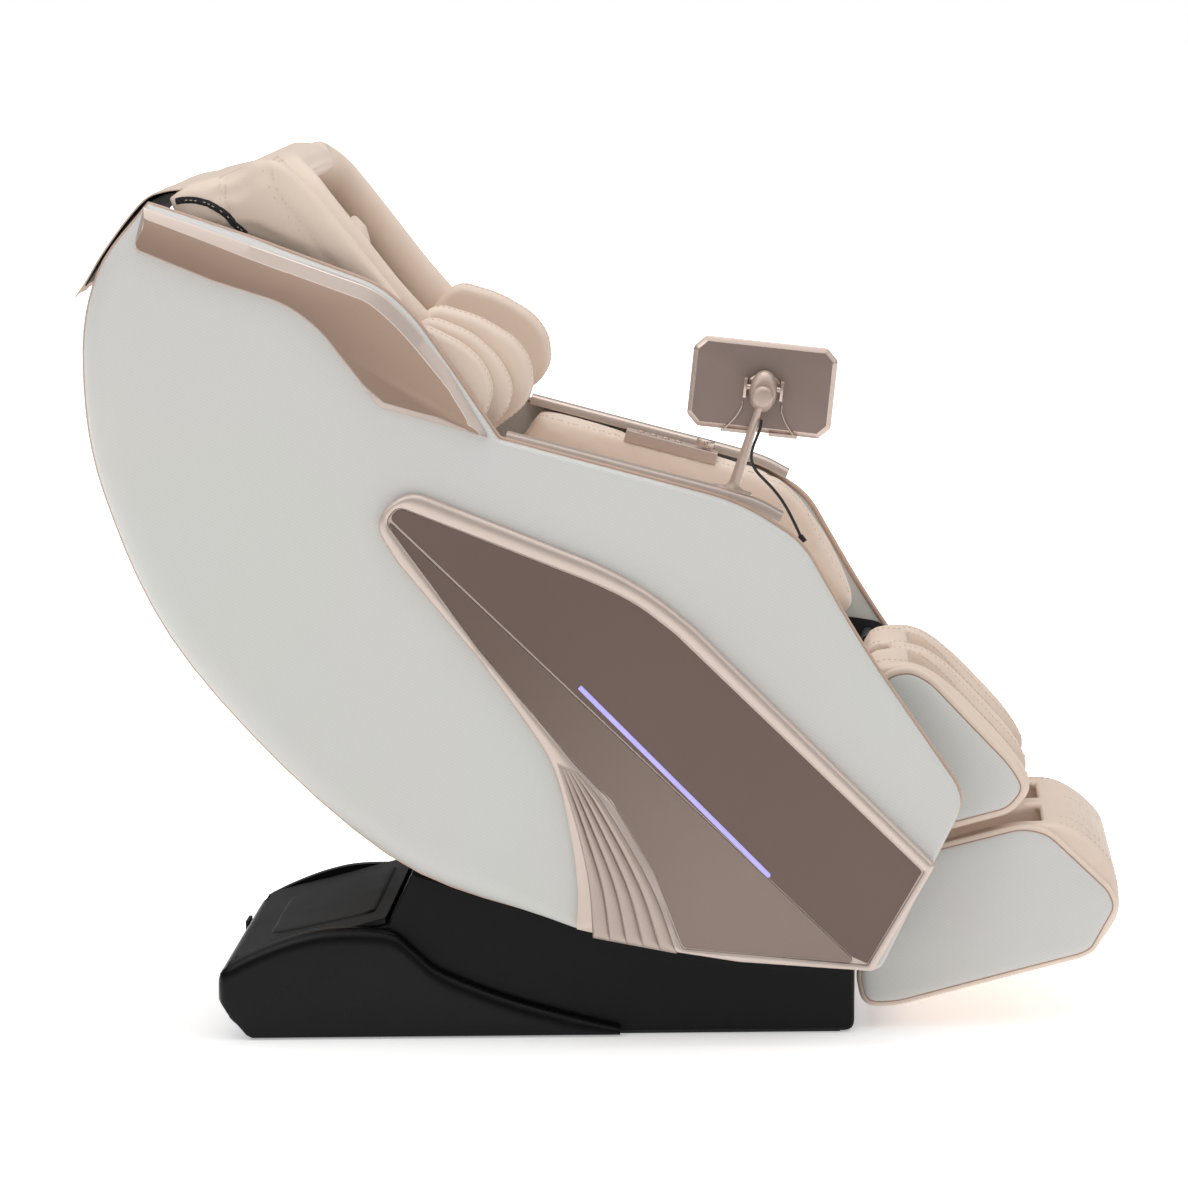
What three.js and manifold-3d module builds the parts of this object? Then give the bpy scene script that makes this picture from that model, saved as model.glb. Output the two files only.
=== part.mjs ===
// A full-body massage chair: a black base, a one-piece body that tilts on it, and a leg rest that lifts.
// Millimetres, +Z up, +X towards the sitter's feet, +Y towards the sitter's left arm, Z = 0 on the floor.
import * as THREE from "three";
import { mergeVertices } from "three/addons/utils/BufferGeometryUtils.js";
import Module from "manifold-3d";

const wasm = await Module();
wasm.setup();

// Overall size, upright, with the leg rest down.
const OVERALL_LENGTH = 1384;
const OVERALL_WIDTH = 780;
const OVERALL_HEIGHT = 1172;

// The side outlines are drawn for this length and height, and stretch with the two values above.
const DRAWN_LENGTH = 1384;
const DRAWN_HEIGHT = 1172;

// Fits: faces that touch keep TOUCH, parts that run past each other keep RUNNING.
const TOUCH = 0.3;
const RUNNING = 3;
const PIN_FIT = 0.6;

// Widths, as half widths from the middle plane where they are driven by the overall width.
const TRIM_THICKNESS = 14;
const SHELL_WALL = 42;
const FRAME_PLATE = 6;
const BASE_TO_FRAME = 22;
const BUMPER_WALL = 20;
const BASE_WALL = 4;
const TRIM_OUTER = OVERALL_WIDTH / 2;
const SHELL_OUTER = TRIM_OUTER - TRIM_THICKNESS - TOUCH;
const SHELL_INNER = SHELL_OUTER - SHELL_WALL;
const FRAME_OUTER = SHELL_INNER - TOUCH;
const FRAME_INNER = FRAME_OUTER - FRAME_PLATE;
const BUMPER_OUTER = FRAME_INNER - BASE_TO_FRAME;
const BASE_OUTER = BUMPER_OUTER - BUMPER_WALL - TOUCH;

// Steel and running gear.
const PIVOT_PIN_RADIUS = 14;
const CROSS_TUBE_RADIUS = 11;
const BEAM_WIDTH = 30;
const BEAM_HEIGHT = 40;
const WHEEL_RADIUS = 29;
const WHEEL_WIDTH = 20;
const WHEEL_AXLE_RADIUS = 6;
const FLOOR_CLEARANCE = 2;

// Massage mechanism.
const TRACK_OUTER = 172;
const TRACK_RAIL_WIDTH = 20;
const TRACK_RAIL_DEPTH = 28;
const ROLLER_RADIUS = 24;
const ROLLER_WIDTH = 36;
const ROLLER_PIN_RADIUS = 5;
const KNEAD_ARM_THICKNESS = 12;

// Upholstery widths.
const CUSHION_HALF = 240;
const ARM_PAD_GAP = 8;
const BACK_PAD_HALF = 212;
const LEG_HALF = 240;
const LEG_SIDE_PANEL = 12;
const LEG_WALL = 48;
const LEG_DIVIDER = 56;
const FLAP_THICKNESS = 4;

// Tablet, its stand and the arm controls.
const TABLET_WIDTH = 190;
const TABLET_HEIGHT = 119;
const TABLET_THICKNESS = 13;
const TABLET_CORNER = 15;
const TABLET_TILT = THREE.MathUtils.degToRad(7);
const BALL_RADIUS = 12;
const BUTTON_RADIUS = 5;
const BUTTON_HEIGHT = 7;
const KNOB_RADIUS = 13;
const KNOB_HEIGHT = 13;
const CABLE_RADIUS = 2;

const across = (x) => (x * OVERALL_LENGTH) / DRAWN_LENGTH;
const up = (z) => (z * OVERALL_HEIGHT) / DRAWN_HEIGHT;
const at = (x, z) => new THREE.Vector2(across(x), up(z));

// ---------- solids ----------

// A closed geometry as a manifold-3d solid.
function solid(geometry) {
  const bare = geometry.clone();
  bare.deleteAttribute("normal");
  bare.deleteAttribute("uv");
  const merged = mergeVertices(bare, 1e-3);
  return new wasm.Manifold(
    new wasm.Mesh({
      numProp: 3,
      vertProperties: merged.attributes.position.array,
      triVerts: new Uint32Array(merged.index.array),
    }),
  );
}

// A solid back as a geometry.
function geometryOf(body) {
  const mesh = body.getMesh();
  const geometry = new THREE.BufferGeometry();
  geometry.setAttribute("position", new THREE.BufferAttribute(mesh.vertProperties, 3));
  geometry.setIndex(new THREE.BufferAttribute(mesh.triVerts, 1));
  const facets = geometry.toNonIndexed();
  facets.computeVertexNormals();
  return facets;
}

const join = (...pieces) => geometryOf(pieces.map(solid).reduce((a, b) => a.add(b)));
const cut = (piece, ...tools) => geometryOf(tools.reduce((a, b) => a.subtract(solid(b)), solid(piece)));

// ---------- outlines in the side view ----------

// Points along one smooth curve through the given points.
function smooth(points, steps) {
  const curve = new THREE.SplineCurve(points.map(([x, z]) => new THREE.Vector2(x, z)));
  return curve.getPoints(steps).map((p) => [p.x, p.y]);
}

// A closed outline of [x, z, corner radius] corners. A fillet takes at most this share of each edge.
const MOST_FILLET = 0.45;
function outline(corners) {
  const shape = new THREE.Shape();
  const spots = corners.map(([x, z]) => at(x, z));
  const count = corners.length;
  for (let i = 0; i < count; i++) {
    const radius = corners[i][2] ?? 0;
    const corner = spots[i];
    const back = spots[(i + count - 1) % count].clone().sub(corner);
    const ahead = spots[(i + 1) % count].clone().sub(corner);
    const enter = corner.clone().add(back.setLength(Math.min(radius, back.length() * MOST_FILLET)));
    const leave = corner.clone().add(ahead.setLength(Math.min(radius, ahead.length() * MOST_FILLET)));
    if (i === 0) shape.moveTo(enter.x, enter.y);
    else shape.lineTo(enter.x, enter.y);
    if (radius > 0) shape.quadraticCurveTo(corner.x, corner.y, leave.x, leave.y);
  }
  shape.closePath();
  return shape;
}

// The outline of a strip of even thickness along a smooth curve.
function strip(points, thickness, steps = 20) {
  const curve = new THREE.SplineCurve(points.map(([x, z]) => at(x, z)));
  const left = [];
  const right = [];
  for (let i = 0; i <= steps; i++) {
    const spot = curve.getPoint(i / steps);
    const along = curve.getTangent(i / steps);
    const normal = new THREE.Vector2(-along.y, along.x).multiplyScalar(thickness / 2);
    left.push(spot.clone().add(normal));
    right.unshift(spot.clone().sub(normal));
  }
  return new THREE.Shape([...left, ...right]);
}

// An outline given its width along Y, with rounded edges where round is above 0.
function prism(shape, yFrom, yTo, round = 0) {
  const geometry = new THREE.ExtrudeGeometry(shape, {
    depth: yTo - yFrom - 2 * round,
    bevelEnabled: round > 0,
    bevelThickness: round,
    bevelSize: round,
    bevelOffset: -round,
    bevelSegments: 1,
    curveSegments: 4,
  });
  geometry.rotateX(Math.PI / 2);
  geometry.translate(0, yTo - round, 0);
  return geometry;
}

// The same outline on the left (sign 1) or the right (sign -1), between two half widths.
function sidePrism(shape, sign, near, far, round = 0) {
  return sign > 0 ? prism(shape, near, far, round) : prism(shape, -far, -near, round);
}

// A round bar along Y at x, z in the side view, between two widths.
function bar(radius, yFrom, yTo, x, z, sides = 14) {
  const geometry = new THREE.CylinderGeometry(radius, radius, yTo - yFrom, sides);
  const spot = at(x, z);
  geometry.translate(spot.x, (yFrom + yTo) / 2, spot.y);
  return geometry;
}

// A round stub between two half widths on one side.
function sideBar(radius, sign, near, far, x, z, sides = 14) {
  return sign > 0 ? bar(radius, near, far, x, z, sides) : bar(radius, -far, -near, x, z, sides);
}

// A box between two drawn corners in the side view.
function block(x0, x1, y0, y1, z0, z1) {
  const low = at(x0, z0);
  const high = at(x1, z1);
  const geometry = new THREE.BoxGeometry(high.x - low.x, y1 - y0, high.y - low.y);
  geometry.translate((low.x + high.x) / 2, (y0 + y1) / 2, (low.y + high.y) / 2);
  return geometry;
}

// ---------- finishes ----------

const finish = (color, roughness, metalness = 0) => new THREE.MeshStandardMaterial({ color, roughness, metalness });
const WHITE_LEATHERETTE = finish("#d5d6d1", 0.55);
const BEIGE_LEATHER = finish("#e0cabb", 0.5);
const SHADED_LEATHER = finish("#c9ae9b", 0.55);
const CHAMPAGNE = finish("#d9cbc4", 0.35, 0.6);
const BRONZE = finish("#a98f7c", 0.35, 0.6);
const BROWN_INLAY = finish("#6a564d", 0.4, 0.4);
const BLACK_PLASTIC = finish("#17161a", 0.35);
const BLACK_RUBBER = finish("#1a1a1a", 0.8);
const STEEL = finish("#4a4c4f", 0.5, 0.8);
const GREY_PLASTIC = finish("#8e8b88", 0.5);
const DARK_LINING = finish("#2a2523", 0.9);

const chair = new THREE.Group();
chair.name = "massage_chair";

// Adds a named part to a group.
function add(group, name, geometry, material) {
  const mesh = new THREE.Mesh(geometry, material);
  mesh.name = name;
  group.add(mesh);
  return mesh;
}

const SIDES = [
  ["right", -1],
  ["left", 1],
];

// ---------- base ----------

const base = new THREE.Group();
chair.add(base);

const PIVOT = [0, 240];
const BASE_BOTTOM = 2;
const BASE_REAR = -497;
const BASE_FRONT = 349;
const STEP_X = -270;

// Housing: a moulded tray turned upside down, open at the floor.
const housingOutline = outline([
  [-476, BASE_BOTTOM + 40],
  [-440, BASE_BOTTOM],
  [BASE_FRONT, BASE_BOTTOM, 14],
  [BASE_FRONT, 104, 26],
  [-100, 176, 40],
  [-236, 220],
  [STEP_X, 151],
  [-476, 100],
]);
const hollowOutline = outline([
  [-472, -10],
  [BASE_FRONT - 5, -10],
  [BASE_FRONT - 5, 99, 20],
  [-100, 170, 30],
  [-233, 212],
  [STEP_X + 4, 145],
  [-472, 95],
]);
const BRACKET_OUTER = BASE_OUTER - 12;
const BRACKET_PLATE = 10;
const slotFor = (sign) => {
  const y0 = sign * (BRACKET_OUTER + RUNNING);
  const y1 = sign * (BRACKET_OUTER - BRACKET_PLATE - RUNNING);
  return block(-52, 52, Math.min(y0, y1), Math.max(y0, y1), 120, 260);
};
const ACTUATOR_HALF = 24;
add(
  base,
  "base_shell",
  cut(
    prism(housingOutline, -BASE_OUTER, BASE_OUTER, 3),
    prism(hollowOutline, -BASE_OUTER + BASE_WALL, BASE_OUTER - BASE_WALL),
    slotFor(1),
    slotFor(-1),
    block(108, 262, -ACTUATOR_HALF - 12, ACTUATOR_HALF + 12, 90, 200),
  ),
  BLACK_PLASTIC,
);

// Bumper: one glossy moulding round the back and both sides, running out towards the front.
const bumperOutline = outline([
  [BASE_REAR, 96],
  [-452, 121, 30],
  [-395, 142, 30],
  [-341, 150, 20],
  [-266, 146, 20],
  [-205, 94, 30],
  [-94, 50, 40],
  [38, 14],
  [60, BASE_BOTTOM],
  [-456, BASE_BOTTOM],
  [BASE_REAR, 50],
]);
add(
  base,
  "base_bumper",
  cut(
    prism(bumperOutline, -BUMPER_OUTER, BUMPER_OUTER, 6),
    block(-476 - TOUCH, 200, -BASE_OUTER - TOUCH, BASE_OUTER + TOUCH, -20, 200),
  ),
  BLACK_PLASTIC,
);

// Rear deck: the removable cover over the back of the base.
const deckOutline = outline([
  [-476, 100 + TOUCH],
  [STEP_X - 2, 151 + TOUCH],
  [STEP_X - 2, 160],
  [-476, 109],
]);
add(base, "rear_deck", prism(deckOutline, -BASE_OUTER + 1, BASE_OUTER - 1, 1), BLACK_PLASTIC);

// Base frame: two beams and three cross members, the pivot brackets with their pins, and the wheel axles.
const BEAM_OUTER = BASE_OUTER - BASE_WALL - RUNNING;
const BEAM_INNER = BEAM_OUTER - BEAM_WIDTH;
const BEAM_BOTTOM = 0;
const WHEEL_SPOT = [-428, WHEEL_RADIUS + FLOOR_CLEARANCE];
const frameBeam = (y0, y1) => block(-385, 330, y0, y1, BEAM_BOTTOM, BEAM_HEIGHT);
const crossMember = (x) => block(x, x + 34, -BEAM_OUTER, BEAM_OUTER, BEAM_BOTTOM, BEAM_HEIGHT - 4);
const bracketOutline = outline([
  [-44, BEAM_HEIGHT - 10],
  [44, BEAM_HEIGHT - 10],
  [22, PIVOT[1] + 22, 16],
  [-22, PIVOT[1] + 22, 16],
]);
const TILT_ANCHOR = [200, 66];
const TILT_ANCHOR_RADIUS = 8;
const anchorLug = outline([
  [TILT_ANCHOR[0] - 22, BEAM_HEIGHT - 8],
  [TILT_ANCHOR[0] + 22, BEAM_HEIGHT - 8],
  [TILT_ANCHOR[0] + 14, TILT_ANCHOR[1] + 16, 10],
  [TILT_ANCHOR[0] - 14, TILT_ANCHOR[1] + 16, 10],
]);
const framePieces = [
  frameBeam(BEAM_INNER, BEAM_OUTER),
  frameBeam(-BEAM_OUTER, -BEAM_INNER),
  crossMember(-385),
  crossMember(-17),
  crossMember(183),
  prism(anchorLug, -ACTUATOR_HALF - 8, -ACTUATOR_HALF),
  prism(anchorLug, ACTUATOR_HALF, ACTUATOR_HALF + 8),
  bar(TILT_ANCHOR_RADIUS, -ACTUATOR_HALF - 2, ACTUATOR_HALF + 2, ...TILT_ANCHOR, 16),
];
for (const [, sign] of SIDES) {
  framePieces.push(sidePrism(bracketOutline, sign, BRACKET_OUTER - BRACKET_PLATE, BRACKET_OUTER));
  framePieces.push(sideBar(PIVOT_PIN_RADIUS, sign, BRACKET_OUTER - 4, FRAME_OUTER - 1, ...PIVOT));
  const fork = outline([
    [-386, BEAM_BOTTOM + 6],
    [-360, BEAM_BOTTOM + 6],
    [-360, BEAM_HEIGHT],
    [-430, BEAM_HEIGHT + 4, 8],
    [-445, WHEEL_SPOT[1], 10],
    [-430, BEAM_BOTTOM + 14, 8],
  ]);
  framePieces.push(sidePrism(fork, sign, BEAM_INNER + 8, BEAM_INNER + 16));
  framePieces.push(
    sideBar(WHEEL_AXLE_RADIUS, sign, BEAM_INNER - WHEEL_WIDTH - 4, BEAM_INNER + 10, ...WHEEL_SPOT, 12),
  );
}
add(base, "base_frame", join(...framePieces), STEEL);

// Transport wheels: they touch the floor only when the chair is tipped back to be moved.
for (const [side, sign] of SIDES) {
  const profile = [
    [WHEEL_AXLE_RADIUS + PIN_FIT, -WHEEL_WIDTH / 2],
    [WHEEL_RADIUS - 4, -WHEEL_WIDTH / 2],
    [WHEEL_RADIUS, -WHEEL_WIDTH / 2 + 4],
    [WHEEL_RADIUS, WHEEL_WIDTH / 2 - 4],
    [WHEEL_RADIUS - 4, WHEEL_WIDTH / 2],
    [WHEEL_AXLE_RADIUS + PIN_FIT, WHEEL_WIDTH / 2],
    [WHEEL_AXLE_RADIUS + PIN_FIT, -WHEEL_WIDTH / 2],
  ].map(([r, y]) => new THREE.Vector2(r, y));
  const wheel = add(base, `transport_wheel_${side}`, new THREE.LatheGeometry(profile, 28), BLACK_RUBBER);
  const spot = at(...WHEEL_SPOT);
  wheel.position.set(spot.x, sign * (BEAM_INNER - WHEEL_WIDTH / 2), spot.y);
}

// Power inlet: a flanged socket plate on the back of the bumper.
const INLET_WIDTH = 52;
const INLET_HEIGHT = 34;
const INLET_Y = 170;
const inletX = across(BASE_REAR) - TOUCH;
const inlet = new THREE.BoxGeometry(5, INLET_WIDTH, INLET_HEIGHT);
inlet.translate(inletX - 2.5, INLET_Y, up(72));
const inletSocket = new THREE.BoxGeometry(4, INLET_WIDTH - 24, INLET_HEIGHT - 14);
inletSocket.translate(inletX - 4, INLET_Y, up(72));
add(base, "power_inlet", cut(inlet, inletSocket), GREY_PLASTIC);

// ---------- tilt actuator ----------

// The tube swings on the base anchor and the rod pushes the cross pin of the body frame.
const TILT_PIN = [150, 330];
const ACTUATOR_RADIUS = 19;
const ROD_RADIUS = 9;
const tiltDrive = new THREE.Group();
const anchorSpot = at(...TILT_ANCHOR);
const tiltReach = at(...TILT_PIN).sub(anchorSpot);
const TILT_LENGTH = tiltReach.length();
tiltDrive.position.set(anchorSpot.x, 0, anchorSpot.y);
tiltDrive.rotation.y = Math.PI / 2 - tiltReach.angle();
chair.add(tiltDrive);

// A clevis eye round a pin along Y, centred on the origin.
function eye(outer, hole, halfWidth) {
  const ring = new THREE.CylinderGeometry(outer, outer, 2 * halfWidth, 20);
  return cut(ring, new THREE.CylinderGeometry(hole, hole, 2 * halfWidth + 4, 16));
}
// A round bar along Z between two heights.
function post(radius, z0, z1, sides = 20) {
  const geometry = new THREE.CylinderGeometry(radius, radius, z1 - z0, sides);
  geometry.rotateX(Math.PI / 2);
  geometry.translate(0, 0, (z0 + z1) / 2);
  return geometry;
}
const TUBE_TOP = TILT_LENGTH - 60;
add(
  tiltDrive,
  "tilt_actuator_tube",
  cut(
    join(eye(16, TILT_ANCHOR_RADIUS + PIN_FIT, ACTUATOR_HALF - 6), post(ACTUATOR_RADIUS, 14, TUBE_TOP)),
    post(ROD_RADIUS + PIN_FIT, 60, TUBE_TOP + 10),
    new THREE.CylinderGeometry(TILT_ANCHOR_RADIUS + PIN_FIT, TILT_ANCHOR_RADIUS + PIN_FIT, 80, 16),
  ),
  STEEL,
);
const forkEnd = new THREE.CylinderGeometry(21, 21, 30, 20);
forkEnd.translate(0, 0, TILT_LENGTH);
const forkHole = new THREE.CylinderGeometry(CROSS_TUBE_RADIUS + RUNNING, CROSS_TUBE_RADIUS + RUNNING, 40, 20);
forkHole.translate(0, 0, TILT_LENGTH);
add(tiltDrive, "tilt_actuator_rod", cut(join(forkEnd, post(ROD_RADIUS, 66, TILT_LENGTH - 12)), forkHole), STEEL);

// ---------- body ----------

const body = new THREE.Group();
chair.add(body);

const REAR_CURVE = [
  [-560, 1117],
  [-628, 1027],
  [-650, 905],
  [-625, 732],
  [-516, 507],
  [-264, 255],
  [-14, 156],
];
const KNEE = [372, 462];

// Side shells: upholstered moulded panels from the back of the head to the knee.
const shellOutline = outline([
  ...smooth(REAR_CURVE, 20),
  [200, 111],
  [380, 96],
  [454, 234],
  [500, 322, 34],
  [366, 522, 90],
  [289, 662, 30],
  [209, 715, 60],
  [-106, 803],
  [-166, 894],
  [-214, 964, 40],
  [-257, 1005, 40],
  [-425, 1070],
]);

// Upper trim: the bronze blade beside the headrest.
const upperTrimOutline = outline([
  [-562, 1114],
  [-577, 1059],
  [-473, 1015],
  [-380, 984, 40],
  [-338, 952, 30],
  [-260, 849],
  [-118, 807],
  [-166, 893],
  [-217, 961, 50],
  [-257, 1001, 50],
]);

// Lower trim: the champagne frame, tapering to a point at the back, with the brown inlay inside it.
const lowerTrimOutline = outline([
  [-226, 742, 40],
  [-272, 700, 40],
  [-240, 645],
  ...smooth([[-135, 516], [-75, 431], [-40, 369], [-18, 278], [-11, 211], [-14, 158]], 12),
  [117, 126],
  [200, 112],
  [376, 98],
  [459, 238],
  [149, 554],
  [94, 600, 40],
  [32, 636, 40],
]);
const INLAY_CORNERS = [
  [-238, 719, 24],
  [-254, 699, 24],
  [-135, 531],
  [-14, 380],
  [37, 326],
  [98, 220],
  [133, 131],
  [368, 107],
  [443, 230],
  [123, 549],
  [73, 589, 30],
  [21, 615, 30],
];
const INLAY_DEPTH = 5;
const inlayOutline = outline(INLAY_CORNERS);

// Arm top line: the inner edge of each arm carries a metallic cap over a leather pad.
const ARM_LINE = [
  [-98, 801],
  [60, 757],
  [209, 715],
  [264, 689],
];
const CAP_THICKNESS = 14;
const capOutline = strip(ARM_LINE.map(([x, z]) => [x, z + 2]), CAP_THICKNESS, 12);
const armPadOutline = outline([
  [-88, 780],
  [205, 699, 30],
  [262, 674],
  [290, 650, 14],
  [312, 606],
  [358, 515, 16],
  [340, 496],
  [-90, 500, 20],
  [-140, 700, 20],
]);
const shoulderOutline = outline([
  [-224, 950],
  [-190, 972, 16],
  [-130, 955, 20],
  [-85, 925, 26],
  [-64, 880, 26],
  [-72, 840, 26],
  [-112, 812, 20],
  [-165, 776, 20],
  [-230, 740, 20],
  [-290, 860, 20],
]);
const CAP_INNER = SHELL_INNER - 34;
const ARM_PAD_OUTER = SHELL_INNER - FRAME_PLATE - 2 * TOUCH;
const ARM_PAD_INNER = CUSHION_HALF + ARM_PAD_GAP;

for (const [side, sign] of SIDES) {
  add(body, `side_shell_${side}`, sidePrism(shellOutline, sign, SHELL_INNER, SHELL_OUTER, 6), WHITE_LEATHERETTE);
  add(
    body,
    `upper_trim_${side}`,
    sidePrism(upperTrimOutline, sign, SHELL_OUTER + TOUCH, TRIM_OUTER - 2, 2.5),
    BRONZE,
  );
  const pocket = sidePrism(inlayOutline, sign, TRIM_OUTER - INLAY_DEPTH, TRIM_OUTER + 5);
  add(
    body,
    `lower_trim_${side}`,
    cut(sidePrism(lowerTrimOutline, sign, SHELL_OUTER + TOUCH, TRIM_OUTER, 2.5), pocket),
    CHAMPAGNE,
  );
  const inlaySmaller = outline(INLAY_CORNERS.map(([x, z, r]) => [x + (60 - x) * 0.002, z + (400 - z) * 0.002, r]));
  add(
    body,
    `inlay_${side}`,
    sidePrism(inlaySmaller, sign, TRIM_OUTER - INLAY_DEPTH + TOUCH, TRIM_OUTER - 1),
    BROWN_INLAY,
  );
  add(body, `arm_cap_${side}`, sidePrism(capOutline, sign, CAP_INNER, SHELL_INNER - TOUCH), CHAMPAGNE);
  add(body, `arm_pad_${side}`, sidePrism(armPadOutline, sign, ARM_PAD_INNER, ARM_PAD_OUTER, 5), BEIGE_LEATHER);
  add(
    body,
    `shoulder_pad_${side}`,
    sidePrism(shoulderOutline, sign, BACK_PAD_HALF + 8, FRAME_INNER - 1, 6),
    BEIGE_LEATHER,
  );
}

// Back cover: the curved leather panel that closes the back between the side shells.
const BACK_LINE = [
  [-548, 1096],
  [-606, 1027],
  [-632, 905],
  [-608, 735],
  [-502, 517],
  [-360, 372],
];
const BACK_COVER_THICKNESS = 12;
add(
  body,
  "back_cover",
  prism(strip(BACK_LINE, BACK_COVER_THICKNESS, 22), -SHELL_INNER + 1, SHELL_INNER - 1),
  SHADED_LEATHER,
);

// Body frame: two side plates joined by cross tubes, with the tilt pivot holes and the knee pins.
const plateOutline = outline([
  [-46, 212, 20],
  [46, 212, 20],
  [150, 300, 30],
  [352, 430, 16],
  [396, 446, 16],
  [396, 478, 16],
  [340, 488, 20],
  [-80, 470, 30],
  [-330, 560, 30],
  [-520, 1010],
  [-600, 985],
  [-470, 560, 30],
  [-310, 345, 30],
  [-120, 300, 30],
]);
const CROSS_TUBES = [
  [-565, 925],
  [-442, 610],
  [-262, 368],
  [-60, 330],
  [300, 425],
  TILT_PIN,
];
const LEG_PIN_RADIUS = 10;
const frameSolids = CROSS_TUBES.map(([x, z]) => bar(CROSS_TUBE_RADIUS, -FRAME_INNER - 2, FRAME_INNER + 2, x, z));
for (const [, sign] of SIDES) {
  frameSolids.push(
    cut(
      sidePrism(plateOutline, sign, FRAME_INNER, FRAME_OUTER),
      sideBar(PIVOT_PIN_RADIUS + PIN_FIT, sign, FRAME_INNER - 20, FRAME_OUTER + 20, ...PIVOT),
    ),
  );
  frameSolids.push(sideBar(LEG_PIN_RADIUS, sign, LEG_HALF - 20, FRAME_INNER + 2, ...KNEE, 16));
}
add(body, "seat_frame", join(...frameSolids), STEEL);

// Massage track: two bent rails from the neck to under the thighs, tied by three crossbars.
const TRACK_FOOT = [-370, 600];
const TRACK_HEAD = [-534, 1000];
const TRACK_LINE = [TRACK_HEAD, [-452, 800], TRACK_FOOT, [-318, 490], [-225, 415], [-90, 388], [110, 384]];
const trackRail = strip(TRACK_LINE, TRACK_RAIL_DEPTH, 26);
const trackPieces = [];
for (const [, sign] of SIDES) {
  trackPieces.push(sidePrism(trackRail, sign, TRACK_OUTER - TRACK_RAIL_WIDTH, TRACK_OUTER));
}
for (const [x, z] of [[-528, 985], [-250, 432], [95, 384]]) {
  trackPieces.push(bar(9, -TRACK_OUTER + 4, TRACK_OUTER - 4, x, z, 16));
}
add(body, "massage_track", join(...trackPieces), STEEL);

// Upholstery on the seat, the back and the head.
const seatOutline = outline([
  [-112, 436, 16],
  [310, 452, 16],
  [326, 492, 24],
  [292, 532, 34],
  [60, 494, 60],
  [-92, 496, 24],
]);
add(body, "seat_cushion", prism(seatOutline, -CUSHION_HALF, CUSHION_HALF, 6), BEIGE_LEATHER);
const backPadOutline = outline([
  [-226, 637, 20],
  [-397, 1054],
  [-343, 1076, 14],
  [-168, 640, 60],
  [-122, 530, 20],
  [-150, 505, 14],
  [-196, 520, 20],
]);
add(body, "backrest_pad", prism(backPadOutline, -BACK_PAD_HALF, BACK_PAD_HALF, 6), BEIGE_LEATHER);
const pillowOutline = outline([
  [-333, 1072, 14],
  [-298, 1084, 30],
  [-262, 990, 40],
  [-236, 905, 24],
  [-262, 884],
]);
add(body, "head_pillow", prism(pillowOutline, -150, 150, 6), BEIGE_LEATHER);

// Hood: a padded bonnet round the head, open to the front.
const HOOD_HALF = 300;
const HOOD_WALL = 44;
const hoodOutline = outline([
  [-226, 972],
  [-336, 1118, 30],
  [-398, 1181, 40],
  [-455, 1148],
  [-520, 1134],
  [-541, 1122],
  [-522, 1080],
  [-428, 1062],
]);
const hoodHollow = outline([
  [-190, 960],
  [-300, 1150],
  [-372, 1136, 20],
  [-430, 1118, 20],
  [-400, 1040],
  [-300, 930],
]);
add(
  body,
  "hood",
  cut(
    prism(hoodOutline, -HOOD_HALF, HOOD_HALF, 8),
    prism(hoodHollow, -HOOD_HALF + HOOD_WALL, HOOD_HALF - HOOD_WALL),
  ),
  BEIGE_LEATHER,
);

// Rear flap: a loose sheet of lined leather over the top of the back.
const flapLine = [
  [-546, 1126],
  [-576, 1116],
  [-622, 1058],
  [-668, 996],
];
add(body, "rear_flap", prism(strip(flapLine, FLAP_THICKNESS, 10), -285, 285), DARK_LINING);

// Air pump under the seat, against the left frame plate.
const PUMP_WIDTH = 120;
add(body, "air_pump", block(170, 285, FRAME_INNER - 1 - PUMP_WIDTH, FRAME_INNER - 1, 345, 405), BLACK_PLASTIC);

// ---------- massage mechanism on the track ----------

// The group's local Z runs up the back and its local X points forward out of the back.
const trackSpan = at(...TRACK_HEAD).sub(at(...TRACK_FOOT));
const UNIT_START = 78;
const UNIT_HALF_LENGTH = 74;
const UNIT_DEPTH = 30;
const unit = new THREE.Group();
const unitSpot = at(...TRACK_FOOT).add(trackSpan.clone().setLength(UNIT_START));
unit.position.set(unitSpot.x, 0, unitSpot.y);
unit.rotation.y = Math.PI / 2 - trackSpan.angle();
chair.add(unit);

const UNIT_HALF_WIDTH = TRACK_OUTER - TRACK_RAIL_WIDTH - RUNNING;
const unitBlock = new THREE.BoxGeometry(2 * UNIT_DEPTH, 2 * UNIT_HALF_WIDTH, 2 * UNIT_HALF_LENGTH);
const motor = new THREE.CylinderGeometry(24, 24, 110, 24);
motor.translate(-UNIT_DEPTH - 4, 0, 20);
const ARM_PIVOT_X = UNIT_DEPTH + 14;
const ARM_INNER_Y = 58;
const ARM_PIN_RADIUS = 7;
const armShaft = new THREE.CylinderGeometry(ARM_PIN_RADIUS, ARM_PIN_RADIUS, 2 * (ARM_INNER_Y + 16), 16);
armShaft.translate(ARM_PIVOT_X, 0, 0);
const armPost = new THREE.BoxGeometry(26, 60, 26);
armPost.translate(ARM_PIVOT_X - 8, 0, 0);
add(unit, "massage_unit", join(unitBlock, motor, armPost, armShaft), GREY_PLASTIC);

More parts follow.
